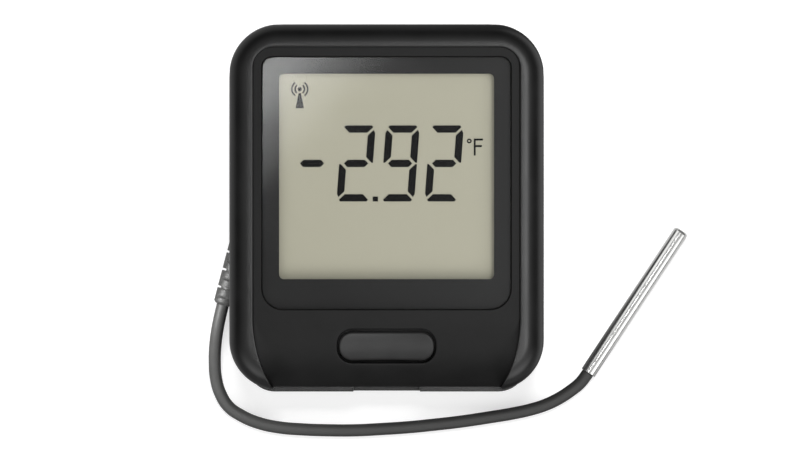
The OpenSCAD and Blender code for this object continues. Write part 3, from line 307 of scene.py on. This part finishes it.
# Section of the rim: up the wall, over the rounded top, down the inner wall to its foot
def rim_section(place, out, back):
    def at(reach, way=out):
        return place[0] + way[0] * reach, place[1] + way[1] * reach

    # Halving finds how far out the case's wall is
    near, far, fine = 0.0, 20.0, 1e-4
    while far - near > fine:
        middle = (near + far) / 2
        near, far = (middle, far) if depth_in_case(*at(middle)) > 0 else (near, middle)
    crest, floor = rim_height(*place), face_height(place[1])
    drop = crest - floor
    brow = min(BROW_R, BROW_SHARE * drop, near / 2)
    low = min(max((CHIN_Y - place[1]) / FLARE_RUN, 0), 1)
    along_chin = low * low * (3 - 2 * low)
    flare_w = FLARE_W[0] + (FLARE_W[1] - FLARE_W[0]) * along_chin
    flare_h = min(FLARE_H[0] + (FLARE_H[1] - FLARE_H[0]) * along_chin, drop - brow)
    groove = PARTING_GROOVE * min((place[1] - CHIN_END) / GROOVE_RUN, 1)
    section = [(*at(near - groove), PARTING_Z), (*at(near), PARTING_Z + PARTING_GROOVE),
               (*at(near), PARTING_Z + WALL_BAND)]
    for _, across in quarter(TOP_STEPS)[:-1]:
        spot = at(brow + (near - brow) * across)
        section.append((*spot, rim_height(*spot)))
    for across, up in quarter(BROW_STEPS):
        spot = at(brow * (1 - across))
        section.append((*spot, rim_height(*spot) - brow * (1 - up)))
    lean = WALL_LEAN * (drop - brow - flare_h)
    for step in range(FLARE_STEPS + 1):
        share = step / FLARE_STEPS
        section.append((*at(lean + (flare_w - lean) * share, back),
                        floor + flare_h * (1 - share) ** FLARE_POWER))
    return section


# Points of a rectangle from low to high, spaced evenly
def grid(half_w, pitch, low, high):
    across, along = round(2 * half_w / pitch), round((high - low) / pitch)
    return [(half_w * (2 * i / across - 1), low + (high - low) * j / along)
            for i in range(across + 1) for j in range(along + 1)]


def shape_front_case(rim_look, panel_look):
    shape = Shape()
    rim, panel = 0, 1
    sections = [rim_section(*station) for station in rim_stations()]
    rows = [shape.row(places) for places in zip(*sections)]
    flare_start = len(rows) - 1 - FLARE_STEPS
    for step, (low, high) in enumerate(zip(rows, rows[1:])):
        shape.strip(low, high, rim if step < flare_start else panel, closed=False)

    # Lower edge of the chin, and the upright faces that close the rim's ends and the lip: one
    # face at the end of the wall's plain rows, and a strip below all others
    wall_rows = 4
    foot_left, foot_right = shape.places[rows[-1][0]], shape.places[rows[-1][-1]]
    lip_top = shape.row([(foot_right[0] + (foot_left[0] - foot_right[0]) * i / LIP_STEPS,
                          CHIN_END, face_height(CHIN_END)) for i in range(1, LIP_STEPS)])
    ends = rows[wall_rows:]
    upright = [row[-1] for row in ends] + lip_top + [row[0] for row in ends[::-1]]
    below = shape.row([(*shape.places[index][:2], PARTING_Z) for index in upright])
    shape.strip(upright, below, rim, closed=False)
    shape.face([row[-1] for row in rows[:wall_rows + 1]] + [below[0]], rim)
    shape.face([row[0] for row in rows[:wall_rows + 1]] + [below[-1]], rim)

    # Panel and chin, with the window's seat and the button's hole
    seat = [shape.row(at_height(round_loop(WINDOW_SEAT, grow), z))
            for grow, z in ((SEAT_EDGE, PANEL_Z), (0, PANEL_Z - SEAT_EDGE), (0, SEAT_Z))]
    hole = []
    for inward, down in quarter(HOLE_STEPS):
        loop = round_loop(BUTTON_HOLE, HOLE_EDGE * (1 - inward), **HOLE_CUTS)
        hole.append(shape.row(at_height(
            loop, lambda y: face_height(y, -HOLE_EDGE * (1 - down)))))
    shape.sheet([rows[-1] + lip_top, seat[0], hole[0]], panel, face_height,
                grid(*CHIN_GRID, CHIN_END + GRID_START, CHIN_Y))
    for rings in (seat, hole):
        for high, low in zip(rings, rings[1:]):
            shape.strip(high, low, panel)

    # Inner side: wall, ceiling and screw bosses
    def ceiling(y):
        return face_height(y, -SHELL_T)

    inside = [(x, max(y, CEILING_END)) for x, y in
              round_loop((INSIDE_W, INSIDE_L, CASE_Y, INSIDE_R, INSIDE_R), **INSIDE_CUTS)]
    inner_low = shape.row(at_height(inside, PARTING_Z))
    inner_top = shape.row(at_height(inside, ceiling))
    shape.strip(inner_low, inner_top, panel)
    opening = [shape.row(at_height(round_loop(WINDOW_OPENING), z))
               for z in (SEAT_Z, PANEL_Z - SHELL_T)]
    shape.sheet([seat[-1], opening[0]], panel)
    shape.strip(*opening, panel)
    hole_low = shape.row(at_height(round_loop(BUTTON_HOLE, **HOLE_CUTS), ceiling))
    shape.strip(hole[-1], hole_low, panel)
    bosses = []
    for middle in SCREWS:
        boss = shape.row(at_height(circle(middle, BOSS_R), ceiling))
        bosses.append(boss)
        end = shape.row(at_height(circle(middle, BOSS_R), PARTING_Z))
        mouth = shape.row(at_height(circle(middle, PILOT_R), PARTING_Z))
        top = shape.row(at_height(circle(middle, PILOT_R), PILOT_TOP))
        shape.strip(boss, end, panel)
        shape.strip(end, mouth, panel)
        shape.strip(mouth, top, panel)
        shape.face(top, panel)
    shape.sheet([inner_top, opening[1], hole_low, *bosses], panel, ceiling,
                grid(*CEILING_GRID, CEILING_END + GRID_START, CHIN_Y))
    shape.sheet([rows[0] + below, inner_low], rim)
    place_piece("front_case", shape.mesh("front_case", [rim_look, panel_look]),
                ["front_shell"], "case")


# The wide button: flange, upright sides, rounded edge and a scoop between its raised ends.
# Heights of its top and flange are over the chin
def shape_button(look):
    proud, scoop, crown, edge = 0.5, 1.1, 0.45, 0.55
    flange_top, flange_low, leg_r, leg_low = -3.05, -3.75, 1.6, 15.0
    edge_steps, top_insets = 6, (0.8, 1.2, 1.7, 2.2, 2.7)
    shape = Shape()

    def top(place, drop=0.0):
        along = min(abs(place[0]) / (BUTTON_SIZE[0] / 2), 1)
        up = (place[1] - BUTTON_SIZE[2]) / (BUTTON_SIZE[1] / 2)
        return (*place, face_height(
            place[1], proud - scoop * (1 - along ** 2) - crown * up ** 2 - drop))

    def ring(size, level):
        loop = round_loop(size, **BUTTON_CUTS)
        return shape.row(at_height(loop, lambda y: face_height(y, level)))

    rings = [ring(BUTTON_FLANGE, flange_low), ring(BUTTON_FLANGE, flange_top),
             ring(BUTTON_SIZE, flange_top)]
    for up, across in quarter(edge_steps):
        loop = round_loop(BUTTON_SIZE, -edge * (1 - across), **BUTTON_CUTS)
        rings.append(shape.row([top(place, edge * (1 - up)) for place in loop]))
    for inset in top_insets:
        loop = round_loop(BUTTON_SIZE, -inset, **BUTTON_CUTS)
        rings.append(shape.row([top(place) for place in loop]))
    for low, high in zip(rings, rings[1:]):
        shape.strip(low, high)
    shape.sheet([rings[-1]])
    leg = circle((0, BUTTON_SIZE[2]), leg_r)
    leg_rows = [shape.row(at_height(leg, lambda y: face_height(y, flange_low))),
                shape.row(at_height(leg, leg_low))]
    shape.sheet([rings[0], leg_rows[0]])
    shape.strip(*leg_rows)
    shape.face(leg_rows[1], 0)
    place_piece("button_key", shape.mesh("button_key", [look]), ["button_cap"],
                "button")


# A thin clear pane: its sides, its softened edge and its top; nothing shows its underside
def shape_pane(name, size, low_z, top_z, edge, look, nodes):
    shape = Shape()
    rows = [shape.row(at_height(round_loop(size, grow), z))
            for grow, z in ((0, low_z), (0, top_z - edge), (-edge, top_z))]
    for low, high in zip(rows, rows[1:]):
        shape.strip(low, high)
    shape.face(rows[-1], 0)
    place_piece(name, shape.mesh(name, [look], closed=False), nodes, "case")


# The probe's thin steel tube: open where the cord goes in, drawn over at its far end
def shape_probe_tube(look):
    start, length, r, wall = (45.6, -37.15, 1.75), 38.6, 1.75, 0.3
    tip_r, bore_end, mouth, middle = 0.7, 37.4, 0.12, 0.001
    lengths, tip_steps, sides = 12, 8, 48
    profile = [(middle, bore_end), (r - wall, bore_end), (r - wall, mouth),
               (r - wall + mouth, 0), (r - mouth, 0), (r, mouth)]
    profile += [(r, length * step / lengths) for step in range(1, lengths)]
    profile += [(r - tip_r + tip_r * across, length - tip_r + tip_r * on)
                for on, across in quarter(tip_steps)]
    profile.append((middle, length))
    ahead, beside = math.cos(PROBE_TURN), math.sin(PROBE_TURN)
    shape = Shape()
    rows = []
    for reach, along in profile:
        ring = []
        for i in range(sides):
            angle = 2 * math.pi * i / sides
            across = reach * math.cos(angle)
            ring.append((start[0] + along * ahead - across * beside,
                         start[1] + along * beside + across * ahead,
                         start[2] + reach * math.sin(angle)))
        rows.append(shape.row(ring))
    for low, high in zip(rows, rows[1:]):
        shape.strip(low, high)
    shape.face(rows[0], 0)
    shape.face(rows[-1], 0)
    return place_piece("probe_tube", shape.mesh("probe_tube", [look]), ["probe_sleeve"],
                       "probe_lead")


# ---- Effects that several finishes share; scales are per metre unless named otherwise ----

PER_MM, PER_CM = 1000.0, 100.0
# Share of their real pace at which drawn lines change along their length
LINE_STRETCH = 0.012


def new_group(name, inputs, outputs):
    tree = bpy.data.node_groups.new(name, "ShaderNodeTree")
    for label, value in inputs:
        socket = tree.interface.new_socket(label, in_out="INPUT", socket_type="NodeSocketFloat")
        socket.default_value = value
    for label in outputs:
        tree.interface.new_socket(label, in_out="OUTPUT", socket_type="NodeSocketFloat")
    return tree, tree.nodes.new("NodeGroupInput").outputs, tree.nodes.new("NodeGroupOutput").inputs


def feed(tree, socket, value):
    if isinstance(value, bpy.types.NodeSocket):
        tree.links.new(value, socket)
    else:
        socket.default_value = value


def worked_out(tree, operation, *values):
    node = tree.nodes.new("ShaderNodeMath")
    node.operation = operation
    for socket, value in zip(node.inputs, values):
        feed(tree, socket, value)
    return node.outputs[0]


def place_on_piece(tree):
    return tree.nodes.new("ShaderNodeTexCoord").outputs["Object"]


def noise(tree, place, scale, detail, roughness):
    node = tree.nodes.new("ShaderNodeTexNoise")
    node.inputs["Detail"].default_value = detail
    node.inputs["Roughness"].default_value = roughness
    feed(tree, node.inputs["Scale"], scale)
    tree.links.new(place, node.inputs["Vector"])
    return node.outputs["Fac"]


def cells(tree, place, scale):
    node = tree.nodes.new("ShaderNodeTexVoronoi")
    feed(tree, node.inputs["Scale"], scale)
    tree.links.new(place, node.inputs["Vector"])
    return node.outputs["Distance"]


# Fine grain that a moulding tool leaves, and the broad unevenness of the skin
def make_moulded_grain():
    tree, given, put = new_group(
        "moulded_grain",
        [("Grains per mm", 5.0), ("Patches per cm", 1.2), ("Pits", 0.35)],
        ["Grain", "Patches"])
    place = place_on_piece(tree)
    fine = worked_out(tree, "MULTIPLY", given["Grains per mm"], PER_MM)
    broad = worked_out(tree, "MULTIPLY", given["Patches per cm"], PER_CM)
    pits = worked_out(tree, "MULTIPLY", cells(tree, place, fine), given["Pits"])
    tree.links.new(worked_out(tree, "ADD", noise(tree, place, fine, 3.0, 0.6), pits), put["Grain"])
    tree.links.new(noise(tree, place, broad, 3.0, 0.55), put["Patches"])
    return tree


# Long fine lines of drawing or polishing along the piece's X axis, once turned, and smudges
def make_drawn_lines():
    tree, given, put = new_group(
        "drawn_lines",
        [("Turn", 0.0), ("Lines per mm", 9.0), ("Smudges per cm", 1.0)],
        ["Lines", "Smudges"])
    place = place_on_piece(tree)
    turn = tree.nodes.new("ShaderNodeVectorRotate")
    turn.rotation_type = "Z_AXIS"
    tree.links.new(place, turn.inputs["Vector"])
    tree.links.new(given["Turn"], turn.inputs["Angle"])
    stretch = tree.nodes.new("ShaderNodeVectorMath")
    stretch.operation = "MULTIPLY"
    stretch.inputs[1].default_value = (LINE_STRETCH, 1.0, 1.0)
    tree.links.new(turn.outputs[0], stretch.inputs[0])
    fine = worked_out(tree, "MULTIPLY", given["Lines per mm"], PER_MM)
    broad = worked_out(tree, "MULTIPLY", given["Smudges per cm"], PER_CM)
    tree.links.new(noise(tree, stretch.outputs[0], fine, 3.0, 0.6), put["Lines"])
    tree.links.new(noise(tree, place, broad, 2.0, 0.5), put["Smudges"])
    return tree


# ---- Finishes ----

class Finish:
    def __init__(self, name, **plain):
        self.material = bpy.data.materials.new(name)
        self.material.use_nodes = True
        self.tree = self.material.node_tree
        self.shader = self.tree.nodes["Principled BSDF"]
        for label, value in plain.items():
            self.shader.inputs[label.replace("_", " ")].default_value = value

    def effect(self, group, **values):
        node = self.tree.nodes.new("ShaderNodeGroup")
        node.node_tree = group
        for label, value in values.items():
            node.inputs[label.replace("_", " ")].default_value = value
        return node.outputs

    # Base colour that goes from one to another as a mask goes from low to high
    def colour(self, mask, dark, light, low=0.35, high=0.65):
        ramp = self.tree.nodes.new("ShaderNodeValToRGB")
        for element, place, shade in zip(ramp.color_ramp.elements, (low, high), (dark, light)):
            element.position, element.color = place, (*shade, 1)
        self.tree.links.new(mask, ramp.inputs["Fac"])
        self.tree.links.new(ramp.outputs["Color"], self.shader.inputs["Base Color"])

    def roughness(self, mask, least, most, low=0.3, high=0.7):
        span = self.tree.nodes.new("ShaderNodeMapRange")
        for label, value in (("From Min", low), ("From Max", high), ("To Min", least),
                             ("To Max", most)):
            span.inputs[label].default_value = value
        self.tree.links.new(mask, span.inputs["Value"])
        self.tree.links.new(span.outputs["Result"], self.shader.inputs["Roughness"])

    def relief(self, height, depth_mm, strength=1.0):
        bump = self.tree.nodes.new("ShaderNodeBump")
        bump.inputs["Distance"].default_value = depth_mm * MM
        bump.inputs["Strength"].default_value = strength
        self.tree.links.new(height, bump.inputs["Height"])
        self.tree.links.new(bump.outputs["Normal"], self.shader.inputs["Normal"])


def grey(level):
    return level, level, level


# Moulded plastic, rubber, resin or ink: its two shades, its least and most roughness, its grains
# per mm and their depth
def moulded(name, dark, light, roughness, grain, depth_mm, **plain):
    finish = Finish(name, **plain)
    skin = finish.effect(GRAIN, Grains_per_mm=grain)
    finish.colour(skin["Patches"], dark, light)
    finish.roughness(skin["Patches"], *roughness)
    finish.relief(skin["Grain"], depth_mm)
    return finish.material


# Drawn, turned or polished metal, with its lines turned to the piece
def metal(name, dark, light, roughness, turn=0.0, depth_mm=0.0006):
    finish = Finish(name, Metallic=1.0)
    drawn = finish.effect(DRAWN, Turn=turn)
    finish.colour(drawn["Lines"], dark, light)
    finish.roughness(drawn["Smudges"], *roughness)
    finish.relief(drawn["Lines"], depth_mm)
    return finish.material


# A clear pane: all but seen through, with what its surface mirrors
def clear(name, alpha, refraction, roughness):
    finish = Finish(name, Alpha=alpha, IOR=refraction)
    skin = finish.effect(GRAIN, Grains_per_mm=0.4, Patches_per_cm=0.8)
    finish.colour(skin["Patches"], grey(0.001), (0.005, 0.0045, 0.004))
    finish.roughness(skin["Patches"], *roughness)
    return finish.material


# The display's pearly reflector: warm grey with the sparkle of its flakes
def pearl_grey():
    finish = Finish("display_pearl", Specular_IOR_Level=0.3)
    skin = finish.effect(GRAIN, Grains_per_mm=9.0, Patches_per_cm=0.7)
    finish.colour(skin["Grain"], (0.648, 0.628, 0.484), (0.703, 0.683, 0.531), 0.3, 0.9)
    finish.roughness(skin["Patches"], 0.5, 0.62)
    finish.relief(skin["Grain"], 0.002, 0.3)
    return finish.material


# Green laminate with copper tracks under the lacquer; its glass weave is not drawn
def green_laminate():
    finish = Finish("board_green", Coat_Weight=0.4)
    place = place_on_piece(finish.tree)
    tracks = finish.tree.nodes.new("ShaderNodeTexBrick")
    tracks.offset = 0.35
    for label, value in (("Scale", 1.0), ("Mortar Size", 0.00016), ("Brick Width", 0.0052),
                         ("Row Height", 0.0011), ("Mortar Smooth", 0.1)):
        tracks.inputs[label].default_value = value
    tracks.inputs["Color1"].default_value = (0.006, 0.075, 0.026, 1)
    tracks.inputs["Color2"].default_value = (0.008, 0.09, 0.032, 1)
    tracks.inputs["Mortar"].default_value = (0.02, 0.16, 0.06, 1)
    finish.tree.links.new(place, tracks.inputs["Vector"])
    finish.tree.links.new(tracks.outputs["Color"], finish.shader.inputs["Base Color"])
    skin = finish.effect(GRAIN, Grains_per_mm=2.0, Patches_per_cm=2.0)
    finish.roughness(skin["Patches"], 0.3, 0.42)
    finish.relief(tracks.outputs["Fac"], 0.02)
    return finish.material


# Crumpled aluminium film of a pouch cell
def pouch_foil():
    finish = Finish("pouch_foil", Metallic=1.0)
    place = place_on_piece(finish.tree)
    skin = finish.effect(GRAIN, Grains_per_mm=3.0, Patches_per_cm=2.0)
    finish.colour(skin["Patches"], (0.52, 0.53, 0.54), (0.68, 0.69, 0.70))
    finish.roughness(skin["Patches"], 0.28, 0.45)
    finish.relief(cells(finish.tree, place, 350.0), 0.25, 0.5)
    return finish.material


# Open-cell foam with its pores, painted darker as the shade that falls in them
def foam_rubber():
    finish = Finish("foam_grey")
    pores = cells(finish.tree, place_on_piece(finish.tree), 2200.0)
    finish.colour(pores, (0.02, 0.02, 0.022), (0.07, 0.07, 0.075), 0.1, 0.6)
    finish.roughness(pores, 0.85, 0.95, 0.0, 1.0)
    finish.relief(pores, 0.15)
    return finish.material


# ---- Camera and cord first, then the other pieces ----

GRAIN = make_moulded_grain()
DRAWN = make_drawn_lines()

place_camera()
probe_tube = shape_probe_tube(metal(
    "probe_polished_steel", (0.62, 0.62, 0.61), (0.70, 0.70, 0.69), (0.2, 0.28),
    turn=-PROBE_TURN, depth_mm=0.0004))
probe_cord = lay_probe_cord(moulded(
    "cord_rubber_grey", (0.040, 0.040, 0.039), (0.048, 0.048, 0.047), (0.5, 0.6), 6.0, 0.012))

# The front case has a satin rim round a duller panel and chin
RIM_LOOK = moulded("rim_satin_black", grey(0.006), grey(0.009), (0.30, 0.36), 5.0, 0.006)
PANEL_LOOK = moulded("panel_matt_black", grey(0.004), grey(0.007), (0.5, 0.56), 6.0, 0.012,
                     Specular_IOR_Level=0.28)
shape_front_case(RIM_LOOK, PANEL_LOOK)
shape_button(moulded("button_satin_black", grey(0.033), grey(0.041), (0.42, 0.48), 6.0, 0.008,
                     Specular_IOR_Level=0.36))
shape_pane("clear_window", WINDOW_SIZE, WINDOW_LOW_Z, PANEL_Z, WINDOW_EDGE,
           clear("window_gloss", 0.15, 2.2, (0.03, 0.06)), ["window_lens"])
shape_pane("display_front", DISPLAY_SIZE, DISPLAY_LOW_Z, DISPLAY_TOP_Z, DISPLAY_EDGE,
           clear("display_clear", 0.0, 1.45, (0.08, 0.12)), ["lcd_polariser", "lcd_front_glass"])

# Finish of each material slot of the CAD solids
PLAIN_LOOKS = {
    "case_plastic": RIM_LOOK,
    "mask_ink": moulded("mask_printed_black", grey(0.020), grey(0.023), (0.6, 0.7), 8.0, 0.002,
                        Specular_IOR_Level=0.2),
    "display_glass": pearl_grey(),
    "display_reflector": pearl_grey(),
    "segment_ink": moulded("segment_printed_black", grey(0.002), grey(0.004), (0.55, 0.65),
                           8.0, 0.001, Specular_IOR_Level=0.05),
    "white_nylon": moulded("nylon_white", (0.62, 0.60, 0.54), (0.68, 0.66, 0.60),
                           (0.45, 0.55), 5.0, 0.006),
    "soft_foam": foam_rubber(),
    "board_laminate": green_laminate(),
    "chip_epoxy": moulded("chip_epoxy_black", (0.015, 0.015, 0.016), (0.022, 0.022, 0.023),
                          (0.55, 0.65), 9.0, 0.01),
    "capacitor_ceramic": moulded("ceramic_tan", (0.30, 0.19, 0.10), (0.36, 0.24, 0.13),
                                 (0.4, 0.5), 8.0, 0.004),
    "bright_steel": metal("fitting_bright_steel", (0.50, 0.50, 0.49), (0.62, 0.62, 0.61),
                          (0.24, 0.34)),
    "gold_plate": metal("contact_gold", (0.72, 0.50, 0.20), (0.82, 0.60, 0.27), (0.18, 0.26),
                        turn=math.radians(107)),
    "battery_pouch": pouch_foil(),
    "cord_rubber": moulded("boot_rubber_grey", (0.040, 0.040, 0.039), (0.050, 0.050, 0.049),
                           (0.45, 0.55), 5.0, 0.01),
    "potting_resin": moulded("potting_cream", (0.55, 0.52, 0.44), (0.62, 0.59, 0.50),
                             (0.3, 0.4), 2.0, 0.01),
    "label_film": moulded("label_white_film", (0.66, 0.66, 0.65), (0.70, 0.70, 0.69),
                          (0.38, 0.46), 3.0, 0.002),
}
for name, node in NODES.items():
    for slot in node.material_slots:
        slot.material = PLAIN_LOOKS.get(slot.material.name.split(".")[0], slot.material)

# The moulded boot has slightly rounded edges, once its points are joined
BOOT_EDGE, BOOT_SEGMENTS, BOOT_SHARP_OVER, BOOT_SAME_POINT = 0.2, 2, 40, 0.001
weld = NODES["plug_boot"].modifiers.new("joined", "WELD")
weld.merge_threshold = BOOT_SAME_POINT * MM
soft = NODES["plug_boot"].modifiers.new("soft_edges", "BEVEL")
soft.width, soft.segments = BOOT_EDGE * MM, BOOT_SEGMENTS
soft.angle_limit = math.radians(BOOT_SHARP_OVER)
soft.harden_normals = True


# ---- Floor and light ----

# Brightness that goes through some levels, each at its place from 0 to 1, as a value does
def ramp_of(tree, value, stops):
    ramp = tree.nodes.new("ShaderNodeValToRGB")
    points = ramp.color_ramp.elements
    for point, (place, level) in zip(points, (stops[0], stops[-1])):
        point.position, point.color = place, (*grey(level), 1)
    for place, level in stops[1:-1]:
        points.new(place).color = (*grey(level), 1)
    tree.links.new(value, ramp.inputs["Fac"])
    return ramp.outputs["Color"]


# The camera sees a white floor that glows, so that only the shadow under the case's near end
# shows. What the piece mirrors is a floor that glows unevenly:
# brighter to the left of the case, and beyond its right side, where the probe lies, and dimmed by
# painted shade in a band in front of the case
def lay_floor():
    half, seen_white, seen_glow = 1.5, 0.6, 0.575
    # Over the way from 0.1 m left of the middle to 0.1 m right of it
    across_pace, across_start = 5.0, 0.5
    side_glow = [(0.2, 0.5), (0.35, 0.42), (0.65, 0.15), (0.73, 0.13), (0.79, 0.8)]
    # Over the way from the middle to 0.5 m nearer
    nearer_pace = -2.0
    # Painted shade: the glow dims to 0.4 in a band in front of the case
    near_shade = [(0.09, 1.0), (0.12, 0.4), (0.3, 0.4), (0.6, 1.2)]
    mesh = bpy.data.meshes.new("floor")
    mesh.from_pydata([(-half, -half, 0), (half, -half, 0), (half, half, 0), (-half, half, 0)],
                     [], [(0, 1, 2, 3)])
    floor = bpy.data.objects.new("floor", mesh)
    bpy.context.collection.objects.link(floor)
    finish = Finish("floor_white", Specular_IOR_Level=0.0, Roughness=0.8,
                    Base_Color=(*grey(0), 1), Emission_Color=(*grey(1), 1))
    tree = finish.tree
    split = tree.nodes.new("ShaderNodeSeparateXYZ")
    tree.links.new(place_on_piece(tree), split.inputs[0])
    across = worked_out(tree, "MULTIPLY_ADD", split.outputs["X"], across_pace, across_start)
    nearer = worked_out(tree, "MULTIPLY", split.outputs["Y"], nearer_pace)
    glow = worked_out(tree, "MULTIPLY", ramp_of(tree, across, side_glow),
                      ramp_of(tree, nearer, near_shade))
    tree.links.new(glow, finish.shader.inputs["Emission Strength"])
    path = tree.nodes.new("ShaderNodeLightPath")
    seen = tree.nodes.new("ShaderNodeBsdfDiffuse")
    seen.inputs["Color"].default_value = (*grey(seen_white), 1)
    white = tree.nodes.new("ShaderNodeEmission")
    white.inputs["Strength"].default_value = seen_glow
    both = tree.nodes.new("ShaderNodeAddShader")
    choice = tree.nodes.new("ShaderNodeMixShader")
    tree.links.new(seen.outputs[0], both.inputs[0])
    tree.links.new(white.outputs[0], both.inputs[1])
    tree.links.new(path.outputs["Is Camera Ray"], choice.inputs[0])
    tree.links.new(finish.shader.outputs[0], choice.inputs[1])
    tree.links.new(both.outputs[0], choice.inputs[2])
    tree.links.new(choice.outputs[0], tree.nodes["Material Output"].inputs["Surface"])
    mesh.materials.append(finish.material)
    return floor


# A softbox that lights only some objects, or all but those. Only these shade each other in its
# light, unless it is shaded by everything
def softbox(name, place, aim, size, power, linked, only=True, shaded=False, spread=180):
    light = bpy.data.lights.new(name, "AREA")
    light.shape = "RECTANGLE"
    light.size, light.size_y = size
    light.energy = power
    light.spread = math.radians(spread)
    lamp = bpy.data.objects.new(name, light)
    lamp.location = place
    lamp.visible_camera = False
    lamp.rotation_euler = (Vector(aim) - Vector(place)).to_track_quat("-Z", "Y").to_euler()
    bpy.context.collection.objects.link(lamp)
    lit = bpy.data.collections.new(name + "_lit")
    for piece in linked:
        lit.objects.link(piece)
    if not only:
        for entry in lit.collection_objects:
            entry.light_linking.link_state = "EXCLUDE"
    elif not shaded:
        lamp.light_linking.blocker_collection = lit
    lamp.light_linking.receiver_collection = lit


def light_studio(floor, cord, probe):
    # Levels of the sky over the sine of the height over the horizon
    sky_levels = [(0.0, 0.12), (0.35, 0.05), (0.5, 0.07), (0.67, 0.22), (0.8, 0.38), (0.9, 0.5),
                  (0.97, 0.56), (1.0, 0.3)]
    # A long low screen on the near side, for the chin: over nearness, height and the way from
    # left to right
    near_levels = [(0.25, 0.0), (0.6, 0.66), (0.8, 0.8), (1.0, 0.2)]
    height_levels = [(0.2, 0.0), (0.45, 1.0)]
    side_levels = [(0.2, 3.0), (0.42, 1.1), (0.5, 0.9), (0.58, 1.4), (0.8, 4.0)]
    # A bright screen almost straight overhead, which the window mirrors in its upper left corner;
    # it fades a little faster sideways than endways
    overhead_sine, overhead_pace, screen_strength = 0.995, 10.0, 12.0
    side_pace, fade_start = 1.08, -0.029
    screen_levels = [(0.445, 0.0), (0.47, 0.18), (0.51, 0.36), (0.58, 0.34), (0.63, 0.9),
                     (0.741, 1.08), (0.85, 1.3)]
    # The sky straight overhead also brightens a little to the right
    right_levels = [(0.3, 0.0), (0.8, 0.6)]

    world = bpy.data.worlds.new("studio")
    bpy.context.scene.world = world
    world.use_nodes = True
    tree = world.node_tree
    way = tree.nodes.new("ShaderNodeTexCoord").outputs["Generated"]
    split = tree.nodes.new("ShaderNodeSeparateXYZ")
    tree.links.new(way, split.inputs[0])
    right, far, up = (split.outputs[axis] for axis in "XYZ")

    near = worked_out(tree, "MULTIPLY", far, -1.0)
    near_screen = worked_out(tree, "MULTIPLY", ramp_of(tree, near, near_levels),
                             ramp_of(tree, up, height_levels))
    sideways = worked_out(tree, "MULTIPLY_ADD", right, 0.5, 0.5)
    near_screen = worked_out(tree, "MULTIPLY", near_screen, ramp_of(tree, sideways, side_levels))

    beside = worked_out(tree, "SUBTRACT", far, worked_out(tree, "MULTIPLY", right, side_pace))
    fade = worked_out(tree, "MULTIPLY_ADD", beside, overhead_pace, fade_start)
    overhead = worked_out(tree, "GREATER_THAN", up, overhead_sine)
    screen = worked_out(tree, "MULTIPLY", ramp_of(tree, fade, screen_levels), overhead)
    high_screen = worked_out(tree, "MULTIPLY", screen, screen_strength)

    rightward = worked_out(tree, "MULTIPLY_ADD", right, overhead_pace, 0.5)
    right_glow = worked_out(tree, "MULTIPLY", ramp_of(tree, rightward, right_levels), overhead)

    total = ramp_of(tree, up, sky_levels)
    for glow in (near_screen, high_screen, right_glow):
        total = worked_out(tree, "ADD", total, glow)
    tree.links.new(total, tree.nodes["Background"].inputs["Strength"])
    tree.nodes["Background"].inputs["Color"].default_value = (*grey(1), 1)

    softbox("right_softbox", place=(0.135, 0.03, 0.42), aim=(0.04, 0.03, 0), size=(0.25, 0.14),
            power=0.5, linked=[floor, probe], only=False)
    softbox("floor_lamp", place=(0.02, 0.5, 1.0), aim=(0, 0, 0), size=(0.4, 0.4), power=11.0,
            linked=[floor], shaded=True)
    softbox("lead_lamp", place=(-0.075, -0.02, 0.05), aim=(-0.04, -0.026, 0.003),
            size=(0.03, 0.03), power=0.012, linked=[cord, NODES["plug_boot"]], spread=60)
    softbox("probe_left_lamp", place=(-0.11, 0.09, 0.13), aim=(0.057, -0.021, 0),
            size=(0.3, 0.22), power=0.24, linked=[probe])
    softbox("probe_right_lamp", place=(0.231, -0.195, 0.172), aim=(0.057, -0.021, 0),
            size=(0.3, 0.2), power=0.14, linked=[probe])
    bpy.context.scene.view_settings.view_transform = "Standard"


light_studio(lay_floor(), probe_cord, probe_tube)
